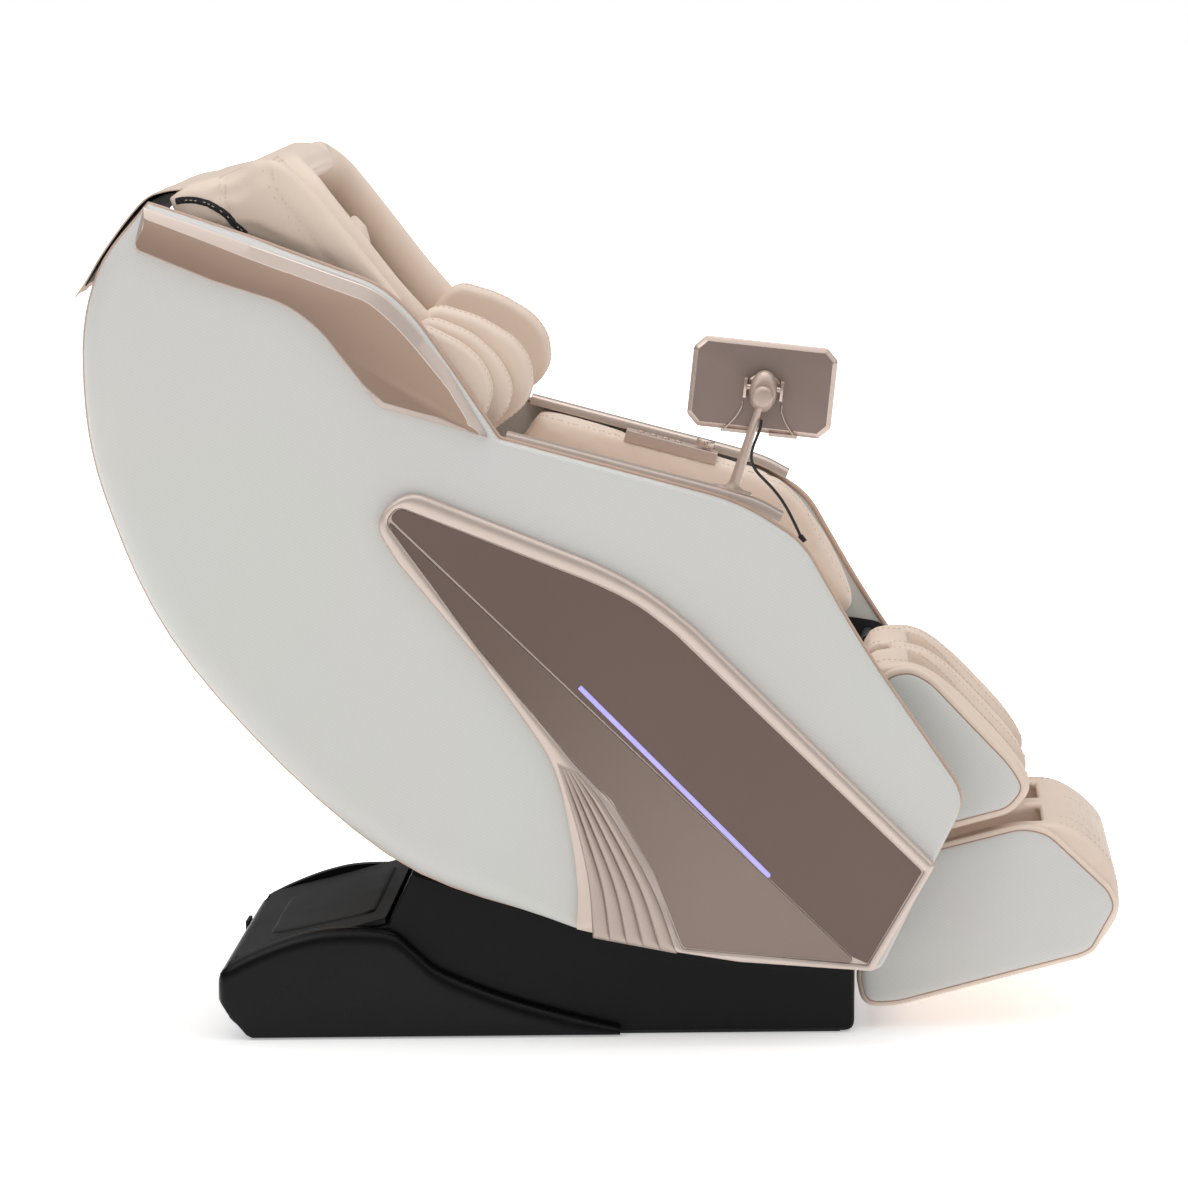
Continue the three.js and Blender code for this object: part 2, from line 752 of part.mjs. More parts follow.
// Kneading arms: each rocks on the shaft and carries one roller above and one below.
const ROLLER_REACH = 62;
const ROLLER_SPREAD = 54;
const ROLLER_Y = ARM_INNER_Y + KNEAD_ARM_THICKNESS + 2 + ROLLER_WIDTH / 2;
const armShape = new THREE.Shape([
  [-11, -14],
  [6, -18],
  [ROLLER_REACH - 6, -ROLLER_SPREAD - 12],
  [ROLLER_REACH + 12, -ROLLER_SPREAD],
  [22, 0],
  [ROLLER_REACH + 12, ROLLER_SPREAD],
  [ROLLER_REACH - 6, ROLLER_SPREAD + 12],
  [6, 18],
  [-11, 14],
].map(([x, z]) => new THREE.Vector2(x, z)));
for (const [side, sign] of SIDES) {
  const arm = new THREE.Group();
  arm.position.set(ARM_PIVOT_X, 0, 0);
  unit.add(arm);
  const shaftHole = new THREE.CylinderGeometry(ARM_PIN_RADIUS + PIN_FIT, ARM_PIN_RADIUS + PIN_FIT, 400, 16);
  const pins = [-1, 1].map((end) => {
    const pin = new THREE.CylinderGeometry(ROLLER_PIN_RADIUS, ROLLER_PIN_RADIUS, ROLLER_WIDTH + 10, 12);
    pin.translate(ROLLER_REACH, sign * (ROLLER_Y - 4), end * ROLLER_SPREAD);
    return pin;
  });
  const plate = sidePrism(armShape, sign, ARM_INNER_Y, ARM_INNER_Y + KNEAD_ARM_THICKNESS);
  add(arm, `knead_arm_${side}`, join(cut(plate, shaftHole), ...pins), STEEL);
  for (const [place, end] of [["upper", 1], ["lower", -1]]) {
    const tyre = [
      [ROLLER_PIN_RADIUS + PIN_FIT, -ROLLER_WIDTH / 2],
      [ROLLER_RADIUS - 5, -ROLLER_WIDTH / 2],
      [ROLLER_RADIUS, -ROLLER_WIDTH / 2 + 7],
      [ROLLER_RADIUS, ROLLER_WIDTH / 2 - 7],
      [ROLLER_RADIUS - 5, ROLLER_WIDTH / 2],
      [ROLLER_PIN_RADIUS + PIN_FIT, ROLLER_WIDTH / 2],
      [ROLLER_PIN_RADIUS + PIN_FIT, -ROLLER_WIDTH / 2],
    ].map(([r, y]) => new THREE.Vector2(r, y));
    const roller = add(arm, `massage_roller_${side}_${place}`, new THREE.LatheGeometry(tyre, 20), BLACK_RUBBER);
    roller.position.set(ROLLER_REACH, sign * ROLLER_Y, end * ROLLER_SPREAD);
  }
}

// ---------- arm controls on the left arm ----------

// The group's local X runs down the arm and its local Z stands on the arm pad.
const controls = new THREE.Group();
const armFall = at(209, 715).sub(at(-98, 801));
const panelSpot = at(100, 737);
controls.position.set(panelSpot.x, (CAP_INNER + ARM_PAD_INNER) / 2, panelSpot.y);
controls.rotation.y = -armFall.angle();
body.add(controls);

const PANEL_LENGTH = 132;
const PANEL_WIDTH = CAP_INNER - ARM_PAD_INNER - 4;
const PANEL_THICKNESS = 16;
const BUTTON_PITCH = 18;
const BUTTON_POCKET = 5;
const panelPlate = new THREE.BoxGeometry(PANEL_LENGTH, PANEL_WIDTH, PANEL_THICKNESS);
const buttonX = (i) => -46 + i * BUTTON_PITCH;
const KNOB_X = 46;
const panelTools = [];
for (let i = 0; i < 4; i++) {
  const pocket = post(BUTTON_RADIUS + PIN_FIT, PANEL_THICKNESS / 2 - BUTTON_POCKET, PANEL_THICKNESS, 16);
  pocket.translate(buttonX(i), 0, 0);
  panelTools.push(pocket);
}
const spindleHole = post(4 + PIN_FIT, 0, PANEL_THICKNESS, 12);
spindleHole.translate(KNOB_X, 0, 0);
panelTools.push(spindleHole);
add(controls, "control_panel", cut(panelPlate, ...panelTools), CHAMPAGNE);
for (let i = 0; i < 4; i++) {
  const button = add(controls, `button_${i + 1}`, post(BUTTON_RADIUS, 0, BUTTON_HEIGHT - 2, 16), CHAMPAGNE);
  button.position.set(buttonX(i), 0, PANEL_THICKNESS / 2 - BUTTON_POCKET + 2.2);
}
const knob = add(
  controls,
  "control_knob",
  join(post(KNOB_RADIUS, 0, KNOB_HEIGHT, 28), post(4, -6, 1, 12)),
  CHAMPAGNE,
);
knob.position.set(KNOB_X, 0, PANEL_THICKNESS / 2 + 0.5);

// ---------- tablet on the right arm ----------

const STAND_Y = -(CAP_INNER + SHELL_INNER) / 2;
const standSpot = at(199, 715 + 2 + 3);
const ballSpot = at(240, 852);
const BALL_Y = STAND_Y - 20;
const STEM_FOOT = new THREE.Vector3(standSpot.x, STAND_Y, standSpot.y + CAP_THICKNESS / 2 + TOUCH);
const BALL = new THREE.Vector3(ballSpot.x, BALL_Y, ballSpot.y);

// A tapered round bar between two points.
function taper(from, to, radiusFrom, radiusTo, sides = 16) {
  const span = to.clone().sub(from);
  const geometry = new THREE.CylinderGeometry(radiusTo, radiusFrom, span.length(), sides);
  const turn = new THREE.Quaternion().setFromUnitVectors(new THREE.Vector3(0, 1, 0), span.clone().normalize());
  geometry.applyQuaternion(turn);
  const middle = from.clone().add(to).multiplyScalar(0.5);
  geometry.translate(middle.x, middle.y, middle.z);
  return geometry;
}
const footPlate = new THREE.CylinderGeometry(1, 1, 4, 24);
footPlate.scale(26, 1, 14);
footPlate.rotateX(Math.PI / 2);
footPlate.rotateY(-armFall.angle());
footPlate.translate(STEM_FOOT.x, STEM_FOOT.y, STEM_FOOT.z + 3.6);
const ball = new THREE.SphereGeometry(BALL_RADIUS, 14, 10);
ball.translate(BALL.x, BALL.y, BALL.z);
add(
  body,
  "tablet_stem",
  join(footPlate, taper(STEM_FOOT.clone().setZ(STEM_FOOT.z + 2), BALL, 6.5, 3.6), ball),
  CHAMPAGNE,
);

// Hub: an oval cup that turns on the ball and carries the tilt trunnions.
const HUB_RADIUS = 18;
const HUB_DEPTH = 12;
const TRUNNION_Y = BALL_RADIUS + 3;
const TRUNNION_Z = 10;
const TRUNNION_RADIUS = 4;
const hub = new THREE.Group();
hub.position.copy(BALL);
hub.rotation.y = TABLET_TILT;
body.add(hub);
const cup = new THREE.CylinderGeometry(HUB_RADIUS, HUB_RADIUS, HUB_DEPTH, 24);
cup.scale(1, 1, 1.3);
cup.translate(0, TRUNNION_Y, TRUNNION_Z - 2);
const socketHollow = new THREE.SphereGeometry(BALL_RADIUS + PIN_FIT, 14, 10);
const trunnion = new THREE.CylinderGeometry(TRUNNION_RADIUS, TRUNNION_RADIUS, 2 * HUB_RADIUS + 18, 12);
trunnion.rotateZ(Math.PI / 2);
trunnion.translate(0, TRUNNION_Y, TRUNNION_Z);
add(hub, "tablet_hub", cut(join(cup, trunnion), socketHollow), CHAMPAGNE);

// Bracket: a plate with two ears behind the tablet, and the tablet in front of it.
const PLATE_Y = TRUNNION_Y + 14;
const bracketPlate = new THREE.BoxGeometry(58, 3, 74);
bracketPlate.translate(0, PLATE_Y + 1.5, 4);
const ears = [-1, 1].map((end) => {
  const ear = new THREE.BoxGeometry(4, 28, 24);
  ear.translate(end * (HUB_RADIUS + 6), PLATE_Y - 11, TRUNNION_Z);
  const hole = new THREE.CylinderGeometry(TRUNNION_RADIUS + PIN_FIT, TRUNNION_RADIUS + PIN_FIT, 12, 12);
  hole.rotateZ(Math.PI / 2);
  hole.translate(end * (HUB_RADIUS + 6), TRUNNION_Y, TRUNNION_Z);
  return cut(ear, hole);
});
add(hub, "tablet_bracket", join(bracketPlate, ...ears), CHAMPAGNE);

const halfW = TABLET_WIDTH / 2;
const halfH = TABLET_HEIGHT / 2;
const tabletShape = new THREE.Shape([
  [-halfW, -halfH + TABLET_CORNER],
  [-halfW + TABLET_CORNER, -halfH],
  [halfW - TABLET_CORNER, -halfH],
  [halfW, -halfH + TABLET_CORNER],
  [halfW, halfH - TABLET_CORNER],
  [halfW - TABLET_CORNER, halfH],
  [-halfW + TABLET_CORNER, halfH],
  [-halfW, halfH - TABLET_CORNER],
].map(([x, z]) => new THREE.Vector2(x, z)));
const TABLET_BACK = PLATE_Y + 3 + TOUCH;
const tablet = add(hub, "tablet_case", prism(tabletShape, TABLET_BACK, TABLET_BACK + TABLET_THICKNESS, 2), BROWN_INLAY);
tablet.position.set(-2, 0, TRUNNION_Z);

// Tablet cable: from under the hub, hanging in a loose bow, into the grommet at the front of the arm.
const CABLE_ROUTE = [
  [238, -334, 822],
  [236.5, -336, 812],
  [232, -339, 800],
  [227, -341, 788],
  [224.5, -341, 776],
  [226, -340, 764],
  [232, -338, 753],
  [241, -336, 743],
  [251, -334, 732],
  [261, -332, 719],
  [269.5, -330, 705],
  [276, -328, 692],
  [281.5, -326, 680],
  [286.5, -324, 668.5],
];
const route = new THREE.CatmullRomCurve3(CABLE_ROUTE.map((p) => new THREE.Vector3(...p)));
const section = new THREE.Shape();
section.absarc(0, 0, CABLE_RADIUS, 0, 2 * Math.PI);
const cable = new THREE.ExtrudeGeometry(section, { steps: 28, curveSegments: 4, extrudePath: route });
add(body, "tablet_cable", cable, BLACK_RUBBER);

// Grommet: the rubber strain relief in the nose of the arm.
const routeEnd = new THREE.Vector3(...CABLE_ROUTE[CABLE_ROUTE.length - 1]);
const routeLast = routeEnd.clone().sub(new THREE.Vector3(...CABLE_ROUTE[CABLE_ROUTE.length - 2])).normalize();
const grommetTop = routeEnd.clone().addScaledVector(routeLast, TOUCH + 0.2);
const grommetEnd = grommetTop.clone().addScaledVector(routeLast, 9);
add(body, "cable_grommet", taper(grommetTop, grommetEnd, 3.4, 5.5, 14), BLACK_RUBBER);

// ---------- leg rest ----------

const legRest = new THREE.Group();
chair.add(legRest);

const LEG_SLOPE = 0.26;
const calfOutline = outline([
  [366, 432, 20],
  [370, 484, 20],
  [425, 491, 40],
  [466, 472, 30],
  [572, 356, 40],
  [592, 318, 30],
  [566, 284, 16],
  [402, 284 - 164 * LEG_SLOPE, 16],
]);
const channelOutline = outline([
  [418, 560],
  [640, 560],
  [640, 200],
  [468, 200],
  [426, 440, 40],
]);
const CHANNEL_OUTER = LEG_HALF - LEG_WALL;
const CHANNEL_INNER = LEG_DIVIDER / 2;
const channels = SIDES.map(([, sign]) => sidePrism(channelOutline, sign, CHANNEL_INNER, CHANNEL_OUTER));
const kneeHoles = SIDES.map(([, sign]) =>
  sideBar(LEG_PIN_RADIUS + PIN_FIT, sign, LEG_HALF - 24, LEG_HALF + 30, ...KNEE, 16),
);
const rodLug = [392, 399];
add(
  legRest,
  "calf_body",
  cut(
    prism(calfOutline, -LEG_HALF, LEG_HALF, 5),
    ...channels,
    ...kneeHoles,
    block(330, 402, -CHANNEL_INNER - 10, CHANNEL_INNER + 10, 355, 500),
  ),
  BEIGE_LEATHER,
);
const calfPanelOutline = outline([
  [376, 444, 16],
  [398, 476, 16],
  [430, 484, 40],
  [460, 466, 30],
  [564, 354, 40],
  [584, 318, 28],
  [560, 289, 14],
  [410, 289 - 150 * LEG_SLOPE, 14],
]);
for (const [side, sign] of SIDES) {
  add(
    legRest,
    `calf_side_${side}`,
    cut(
      sidePrism(calfPanelOutline, sign, LEG_HALF + TOUCH, LEG_HALF + LEG_SIDE_PANEL, 3),
      sideBar(LEG_PIN_RADIUS + PIN_FIT, sign, LEG_HALF - 10, LEG_HALF + 40, ...KNEE, 16),
    ),
    WHITE_LEATHERETTE,
  );
}

// Foot rest: two boots under one toe box, on a slide out of the calf rest.
const footOutline = outline([
  [398, 226],
  [575, 271, 20],
  [626, 272, 30],
  [668, 246, 20],
  [697, 214, 14],
  [707, 150, 20],
  [672, 98, 20],
  [652, 88],
  [402, 26, 30],
  [366, 34, 14],
  [362, 70, 16],
]);
const wellOutline = outline([
  [452, 320],
  [604, 320],
  [604, 262],
  [660, 214, 20],
  [660, 150, 20],
  [636, 122],
  [440, 74, 20],
  [424, 120, 20],
]);
const FOOT_ROLLER = [512, 104];
const FOOT_ROLLER_RADIUS = 11;
const wells = SIDES.map(([, sign]) => sidePrism(wellOutline, sign, CHANNEL_INNER, CHANNEL_OUTER));
const ROLLER_SHAFT_HALF = CHANNEL_OUTER + 12;
add(
  legRest,
  "foot_body",
  cut(
    prism(footOutline, -LEG_HALF, LEG_HALF, 5),
    ...wells,
    bar(FOOT_ROLLER_RADIUS + 2, -ROLLER_SHAFT_HALF - 2, ROLLER_SHAFT_HALF + 2, ...FOOT_ROLLER),
  ),
  BEIGE_LEATHER,
);
add(
  legRest,
  "foot_roller",
  bar(FOOT_ROLLER_RADIUS, -ROLLER_SHAFT_HALF, ROLLER_SHAFT_HALF, ...FOOT_ROLLER),
  BLACK_RUBBER,
);
const footPanelOutline = outline([
  [404, 232],
  [575, 271, 24],
  [612, 262, 30],
  [693, 184, 20],
  [702, 158, 16],
  [668, 100, 20],
  [652, 92],
  [402, 29, 30],
  [360, 30, 20],
  [353, 72, 16],
]);
for (const [side, sign] of SIDES) {
  add(
    legRest,
    `foot_side_${side}`,
    sidePrism(footPanelOutline, sign, LEG_HALF + TOUCH, LEG_HALF + LEG_SIDE_PANEL, 3),
    WHITE_LEATHERETTE,
  );
}

// Leg actuator: fixed to the body frame, its rod pushes in the slot of the calf rest.
const LEG_DRIVE_START = [178, 352];
const legDrive = new THREE.Group();
const legSpot = at(...LEG_DRIVE_START);
const legReach = at(...rodLug).sub(legSpot);
legDrive.position.set(legSpot.x, 0, legSpot.y);
legDrive.rotation.y = Math.PI / 2 - legReach.angle();
chair.add(legDrive);
const LEG_TUBE_TOP = 128;
add(
  legDrive,
  "leg_actuator_tube",
  cut(post(17, 0, LEG_TUBE_TOP), post(8 + PIN_FIT, 20, LEG_TUBE_TOP + 10)),
  STEEL,
);
add(legDrive, "leg_actuator_rod", post(8, 24, LEG_TUBE_TOP + 50), STEEL);

export default chair;
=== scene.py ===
"""A full-body massage chair: white side shells with bronze and brown trim, beige leather upholstery,
a padded hood, arm controls, a tablet on a stem, and a black base."""
import math

import bmesh
import bpy
import numpy as np
from mathutils import Matrix, Vector
from mathutils.bvhtree import BVHTree


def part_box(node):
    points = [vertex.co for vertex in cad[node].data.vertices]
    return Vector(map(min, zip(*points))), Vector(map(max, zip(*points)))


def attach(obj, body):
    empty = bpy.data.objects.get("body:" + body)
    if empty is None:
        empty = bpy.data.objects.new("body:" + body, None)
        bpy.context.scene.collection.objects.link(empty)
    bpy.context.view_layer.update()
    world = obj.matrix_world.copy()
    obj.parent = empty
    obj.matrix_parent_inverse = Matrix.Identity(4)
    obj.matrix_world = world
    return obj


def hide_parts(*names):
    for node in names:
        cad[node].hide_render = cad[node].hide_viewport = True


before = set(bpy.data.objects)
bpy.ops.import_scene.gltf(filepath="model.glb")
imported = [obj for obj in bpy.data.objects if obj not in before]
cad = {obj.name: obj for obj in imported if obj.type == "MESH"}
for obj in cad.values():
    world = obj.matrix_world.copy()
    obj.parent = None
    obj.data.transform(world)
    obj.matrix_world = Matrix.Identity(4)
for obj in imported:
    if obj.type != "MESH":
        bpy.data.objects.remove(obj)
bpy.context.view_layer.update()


def placed(name, data):
    """A new object in the scene."""
    made = bpy.data.objects.new(name, data)
    bpy.context.scene.collection.objects.link(made)
    return made


# ---- Camera ----
# A long lens nine metres away, a little in front of the chair and above it.
view = Vector((0.0, 0.0, 0.559)) - Vector((0.388, -8.8, 1.514))
view.normalize()
level = view.cross(Vector((0, 0, 1))).normalized()
tilt = math.radians(-0.98)
across = level * math.cos(tilt) + level.cross(view) * math.sin(tilt)
upward = -level * math.sin(tilt) + level.cross(view) * math.cos(tilt)
lens = bpy.data.cameras.new("long_lens")
lens.lens = 196.5
lens.sensor_width = 36
lens.clip_end = 60
camera = placed("camera", lens)
camera.matrix_world = Matrix((across, upward, -view)).transposed().to_4x4()
camera.location = (0.388, -8.8, 1.514)
bpy.context.scene.camera = camera

# ---- Tablet cable ----
# A thin black PVC lead that hangs from the tablet's bracket and enters the arm through a rubber grommet.
# It carries power only, so it is 4 mm thick and bends easily.
def linear(code):
    """sRGB hex to linear: c / 12.92 below 0.04045, else ((c + 0.055) / 1.055) ** 2.4."""
    c = np.array([int(code[i : i + 2], 16) for i in (1, 3, 5)]) / 255
    return (*np.where(c < 0.04045, c / 12.92, ((c + 0.055) / 1.055) ** 2.4), 1.0)


def node(tree, kind, settings=None, **feeds):
    """Adds a shader node. settings are its properties; feeds name a socket, or n0, n1 for a numbered one."""
    made = tree.nodes.new("ShaderNode" + kind)
    for key, value in (settings or {}).items():
        setattr(made, key, value)
    for key, value in feeds.items():
        socket = made.inputs[int(key[1:]) if key[0] == "n" and key[1:].isdigit() else key.replace("_", " ")]
        if isinstance(value, bpy.types.NodeSocket):
            tree.links.new(value, socket)
        else:
            socket.default_value = value
    return made


def local(tree):
    """The object's own coordinates, in which its texture is laid out."""
    return node(tree, "TexCoord").outputs["Object"]


def mixed(tree, share, low, high):
    """The colour that lies between two sRGB hexes by the share."""
    return node(tree, "Mix", {"data_type": "RGBA"}, n0=share, n6=linear(low), n7=linear(high)).outputs[2]


def finish_named(name):
    """An empty material with all its nodes cleared, ready for a shader."""
    made = bpy.data.materials.new(name)
    made.use_nodes = True
    made.node_tree.nodes.clear()
    return made, made.node_tree


def lit_by(tree, **values):
    """The Principled shader with constants on its own sockets, joined to the output."""
    shader = node(tree, "BsdfPrincipled", **values)
    node(tree, "OutputMaterial", Surface=shader.outputs[0])
    return shader


def grain(tree, scale, strength, distance, detail=3.0):
    """Bump from noise with scale features per metre and a height of distance metres."""
    place = local(tree)
    noise = node(tree, "TexNoise", Vector=place, Scale=scale, Detail=detail)
    return node(tree, "Bump", Height=noise.outputs[0], Strength=strength, Distance=distance).outputs[0]


def surface(name, points, closed_u=True, closed_v=False, caps=False, sharp=60):
    """A mesh from a (rows, columns, 3) array of points; rows wrap if closed_u, columns if closed_v."""
    rows, columns = points.shape[:2]
    index = np.arange(rows * columns).reshape(rows, columns)
    if closed_u:
        index = np.vstack([index, index[:1]])
    if closed_v:
        index = np.hstack([index, index[:, :1]])
    quads = np.stack([index[:-1, :-1], index[1:, :-1], index[1:, 1:], index[:-1, 1:]], -1).reshape(-1, 4)
    faces = quads.tolist()
    if caps:
        faces += [index[:rows, 0].tolist(), index[:rows, columns - 1].tolist()[::-1]]
    mesh = bpy.data.meshes.new(name)
    mesh.from_pydata(points.reshape(-1, 3).tolist(), [], faces)
    tidy = bmesh.new()
    tidy.from_mesh(mesh)
    bmesh.ops.remove_doubles(tidy, verts=tidy.verts, dist=1e-6)
    bmesh.ops.dissolve_degenerate(tidy, edges=tidy.edges, dist=1e-7)
    bmesh.ops.recalc_face_normals(tidy, faces=tidy.faces)
    tidy.to_mesh(mesh)
    tidy.free()
    made = placed(name, mesh)
    mesh.shade_smooth()
    mesh.set_sharp_from_angle(angle=math.radians(sharp))
    return made


def through(points, steps):
    """A Catmull-Rom curve through the points, with the given steps between each two."""
    p = np.asarray(points, float)
    p = np.vstack([2 * p[0] - p[1], p, 2 * p[-1] - p[-2]])
    t = np.linspace(0, 1, steps, endpoint=False)[:, None, None]
    a, b, c, d = (p[i : len(p) - 3 + i][None] for i in range(4))
    curve = 0.5 * (2 * b + (c - a) * t + (2 * a - 5 * b + 4 * c - d) * t**2 + (3 * b - a - 3 * c + d) * t**3)
    return np.vstack([curve.transpose(1, 0, 2).reshape(-1, p.shape[1]), p[-2:-1]])


def cord_along(name, path, radius, sides=10, flat=1.0, closed=False):
    """A tube: circles of the radius, squashed by flat, square to the path at each of its points."""
    path = np.asarray(path, float)
    run = np.gradient(path, axis=0) if not closed else np.roll(path, -1, 0) - np.roll(path, 1, 0)
    run /= np.linalg.norm(run, axis=1)[:, None]
    side = np.cross(run, [0.0, 1.0, 0.0])
    weak = np.linalg.norm(side, axis=1) < 0.2
    side[weak] = np.cross(run[weak], [0.0, 0.0, 1.0])
    side /= np.linalg.norm(side, axis=1)[:, None]
    for i in range(1, len(side)):
        if side[i] @ side[i - 1] < 0:
            side[i] *= -1
    other = np.cross(run, side)
    turn = np.linspace(0, 2 * math.pi, sides, endpoint=False)
    ring = np.cos(turn)[:, None, None] * side * radius + np.sin(turn)[:, None, None] * other * radius * flat
    return surface(name, path[None] + ring, closed_v=closed, caps=not closed)


def refinished(name, finish):
    """Puts the finish on a CAD piece that is shown as it is."""
    cad[name].data.materials.clear()
    cad[name].data.materials.append(finish)


def mm(points):
    """Points given in millimetres, as an array in metres."""
    return np.array(points, float) / 1000


ROUTE = mm([
    [238, -334, 822], [236.5, -336, 812], [232, -339, 800], [227, -341, 788], [224.5, -341, 776],
    [226, -340, 764], [232, -338, 753], [241, -336, 743], [251, -334, 732], [261, -332, 719],
    [269.5, -330, 705], [276, -328, 692], [281.5, -326, 680], [286.5, -324, 668.5],
])
lead_line = through(ROUTE, 3)
lead = cord_along("tablet_lead", lead_line, 0.002)
pvc, tree = finish_named("black_pvc_lead")
lit_by(tree, Base_Color=linear("#1b1b1d"), Roughness=0.42, Normal=grain(tree, 900, 0.1, 0.0002))
lead.data.materials.append(pvc)
refinished("cable_grommet", pvc)
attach(lead, "body")
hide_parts("tablet_cable")

# ---- Floor and studio light ----
# A pale flat paper floor, lit at its far end, three large soft lamps, and a sky that is bright overhead.
floor = surface(
    "floor", np.array([[[x, y, -0.0005] for y in (-60.0, 60.0)] for x in (-60.0, 60.0)]), closed_u=False
)
paper, tree = finish_named("white_studio_paper")
spot = node(tree, "SeparateXYZ", Vector=local(tree))
fade = node(
    tree, "MapRange", {"interpolation_type": "SMOOTHSTEP"}, Value=spot.outputs[1], From_Min=-1.0,
    From_Max=2.5, To_Min=0.30, To_Max=1.0
)
lit_by(
    tree, Base_Color=linear("#fbfbfb"), Roughness=0.85, Emission_Color=(1, 1, 1, 1),
    Emission_Strength=fade.outputs[0], Normal=grain(tree, 40, 0.02, 0.001)
)
floor.data.materials.append(paper)
surround = bpy.data.worlds.new("studio")
surround.use_nodes = True
sky = node(
    surround.node_tree, "SeparateXYZ", Vector=node(surround.node_tree, "TexCoord").outputs["Generated"]
)
above = node(
    surround.node_tree, "MapRange", {"interpolation_type": "SMOOTHSTEP"}, Value=sky.outputs[2], From_Min=0.3,
    From_Max=0.85, To_Min=0.17, To_Max=1.2
)
seen = node(surround.node_tree, "LightPath")
strength = node(surround.node_tree, "Mix", n0=seen.outputs[0], n2=above.outputs[0], n3=1.0)
surround.node_tree.links.new(strength.outputs[0], surround.node_tree.nodes["Background"].inputs[1])
surround.node_tree.nodes["Background"].inputs[0].default_value = (1, 1, 1, 1)
bpy.context.scene.world = surround
bpy.context.scene.view_settings.view_transform = "Standard"
for name, place, size, power in [
    ("lamp_left", (-2.6, -4.6, 3.6), 2.6, 34),
    ("lamp_right", (3.8, -2.6, 2.4), 2.0, 8),
    ("lamp_top", (0.3, 0.2, 4.2), 2.2, 24),
]:
    lamp = bpy.data.lights.new(name, "AREA")
    lamp.size = size
    lamp.energy = power
    holder = placed(name, lamp)
    holder.location = place
    holder.rotation_euler = (Vector((0, 0, 0.5)) - Vector(place)).to_track_quat("-Z", "Y").to_euler()

# ---- Side shells ----
# Two moulded panels wrapped in white PVC leathercloth with a fine diagonal twill, soft and domed outside.
# The cloth is turned over the edge and closed by a beige welt on the inner side.
def rounded(corners, spacing=0.006):
    """A closed outline in metres from [x, z, radius] corners in mm: each corner becomes a quadratic curve."""
    c = [(mm(p[:2]), (p[2] if len(p) > 2 else 0) / 1000) for p in corners]
    line = []
    for i, (here, radius) in enumerate(c):
        before, after = c[i - 1][0] - here, c[(i + 1) % len(c)][0] - here
        reach = min(radius * 0.9, 0.45 * np.linalg.norm(before), 0.45 * np.linalg.norm(after))
        if reach < 1e-4:
            line.append(here[None])
            continue
        a = here + before / np.linalg.norm(before) * reach
        b = here + after / np.linalg.norm(after) * reach
        t = np.linspace(0, 1, 9)[:, None]
        line.append((1 - t) ** 2 * a + 2 * t * (1 - t) * here + t**2 * b)
    return evenly(np.vstack(line), spacing)


def evenly(line, spacing):
    """The closed line again, with points at equal steps along it."""
    loop = np.vstack([line, line[:1]])
    run = np.concatenate([[0], np.cumsum(np.linalg.norm(np.diff(loop, axis=0), axis=1))])
    steps = np.linspace(0, run[-1], int(run[-1] / spacing), endpoint=False)
    loop = np.stack([np.interp(steps, run, loop[:, i]) for i in (0, 1)], 1)
    area = np.sum(loop[:, 0] * np.roll(loop[:, 1], -1) - loop[:, 1] * np.roll(loop[:, 0], -1))
    return loop if area > 0 else loop[::-1]


def nearest(points, line, closed=False):
    """For each point, the closest point of the polyline."""
    line = np.vstack([line, line[:1]]) if closed else line
    a, b = line[:-1], line[1:]
    t = np.einsum("ijk,jk->ij", points[:, None] - a, b - a) / np.maximum(((b - a) ** 2).sum(1), 1e-12)
    spot = a + np.clip(t, 0, 1)[..., None] * (b - a)
    best = ((points[:, None] - spot) ** 2).sum(2).argmin(1)
    return spot[np.arange(len(points)), best]


def inward(line, reach):
    """The closed line moved in by reach along its smoothed normals."""
    along = np.roll(line, -2, 0) - np.roll(line, 2, 0)
    normal = np.stack([-along[:, 1], along[:, 0]], 1)
    normal /= np.linalg.norm(normal, axis=1)[:, None]
    return line + normal * np.reshape(reach, (-1, 1))


def at_y(line, y):
    """The (x, z) line laid in the plane at y, or at each point's own y."""
    return np.stack([line[:, 0], np.broadcast_to(y, len(line)), line[:, 1]], 1)


def stacked(name, rings, sharp=60):
    """A closed body from rings, each a (N, 2) outline with its y, an end cap on the first and last."""
    points = [at_y(r, y) for r, y in rings]
    return surface(name, np.stack(points, 1), caps=True, sharp=sharp)


def dressed(piece, finish, body, slot, *nodes):
    """Gives a piece its finish and body, and hides the CAD nodes it stands for."""
    piece.data.materials.append(finish)
    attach(piece, body)
    if nodes:
        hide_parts(*nodes)
    return piece


def twill_cloth():
    """White PVC leathercloth: diagonal ribs 2 mm apart in life, drawn 4 mm apart so that they show."""
    made, tree = finish_named("white_pvc_leathercloth")
    place = local(tree)
    turned = node(tree, "Mapping", Vector=place, Rotation=(0, math.radians(-28), 0)).outputs[0]
    ribs = node(
        tree, "TexWave", {"bands_direction": "Z"}, Vector=turned, Scale=math.pi / 10 / 0.004, Distortion=0.6,
        Detail=1.0
    )
    clouds = node(tree, "TexNoise", Vector=place, Scale=3.0, Detail=3.0)
    tint = mixed(tree, ribs.outputs[1], "#d1d0cc", "#d6d5d1")
    shade = node(
        tree, "Mix", {"data_type": "RGBA", "blend_type": "MULTIPLY"}, n0=0.06, n6=tint, n7=clouds.outputs[1]
    )
    bump = node(tree, "Bump", Height=ribs.outputs[1], Strength=0.08, Distance=0.0003)
    lit_by(tree, Base_Color=shade.outputs[2], Roughness=0.5, IOR=1.5, Normal=bump.outputs[0])
    return made


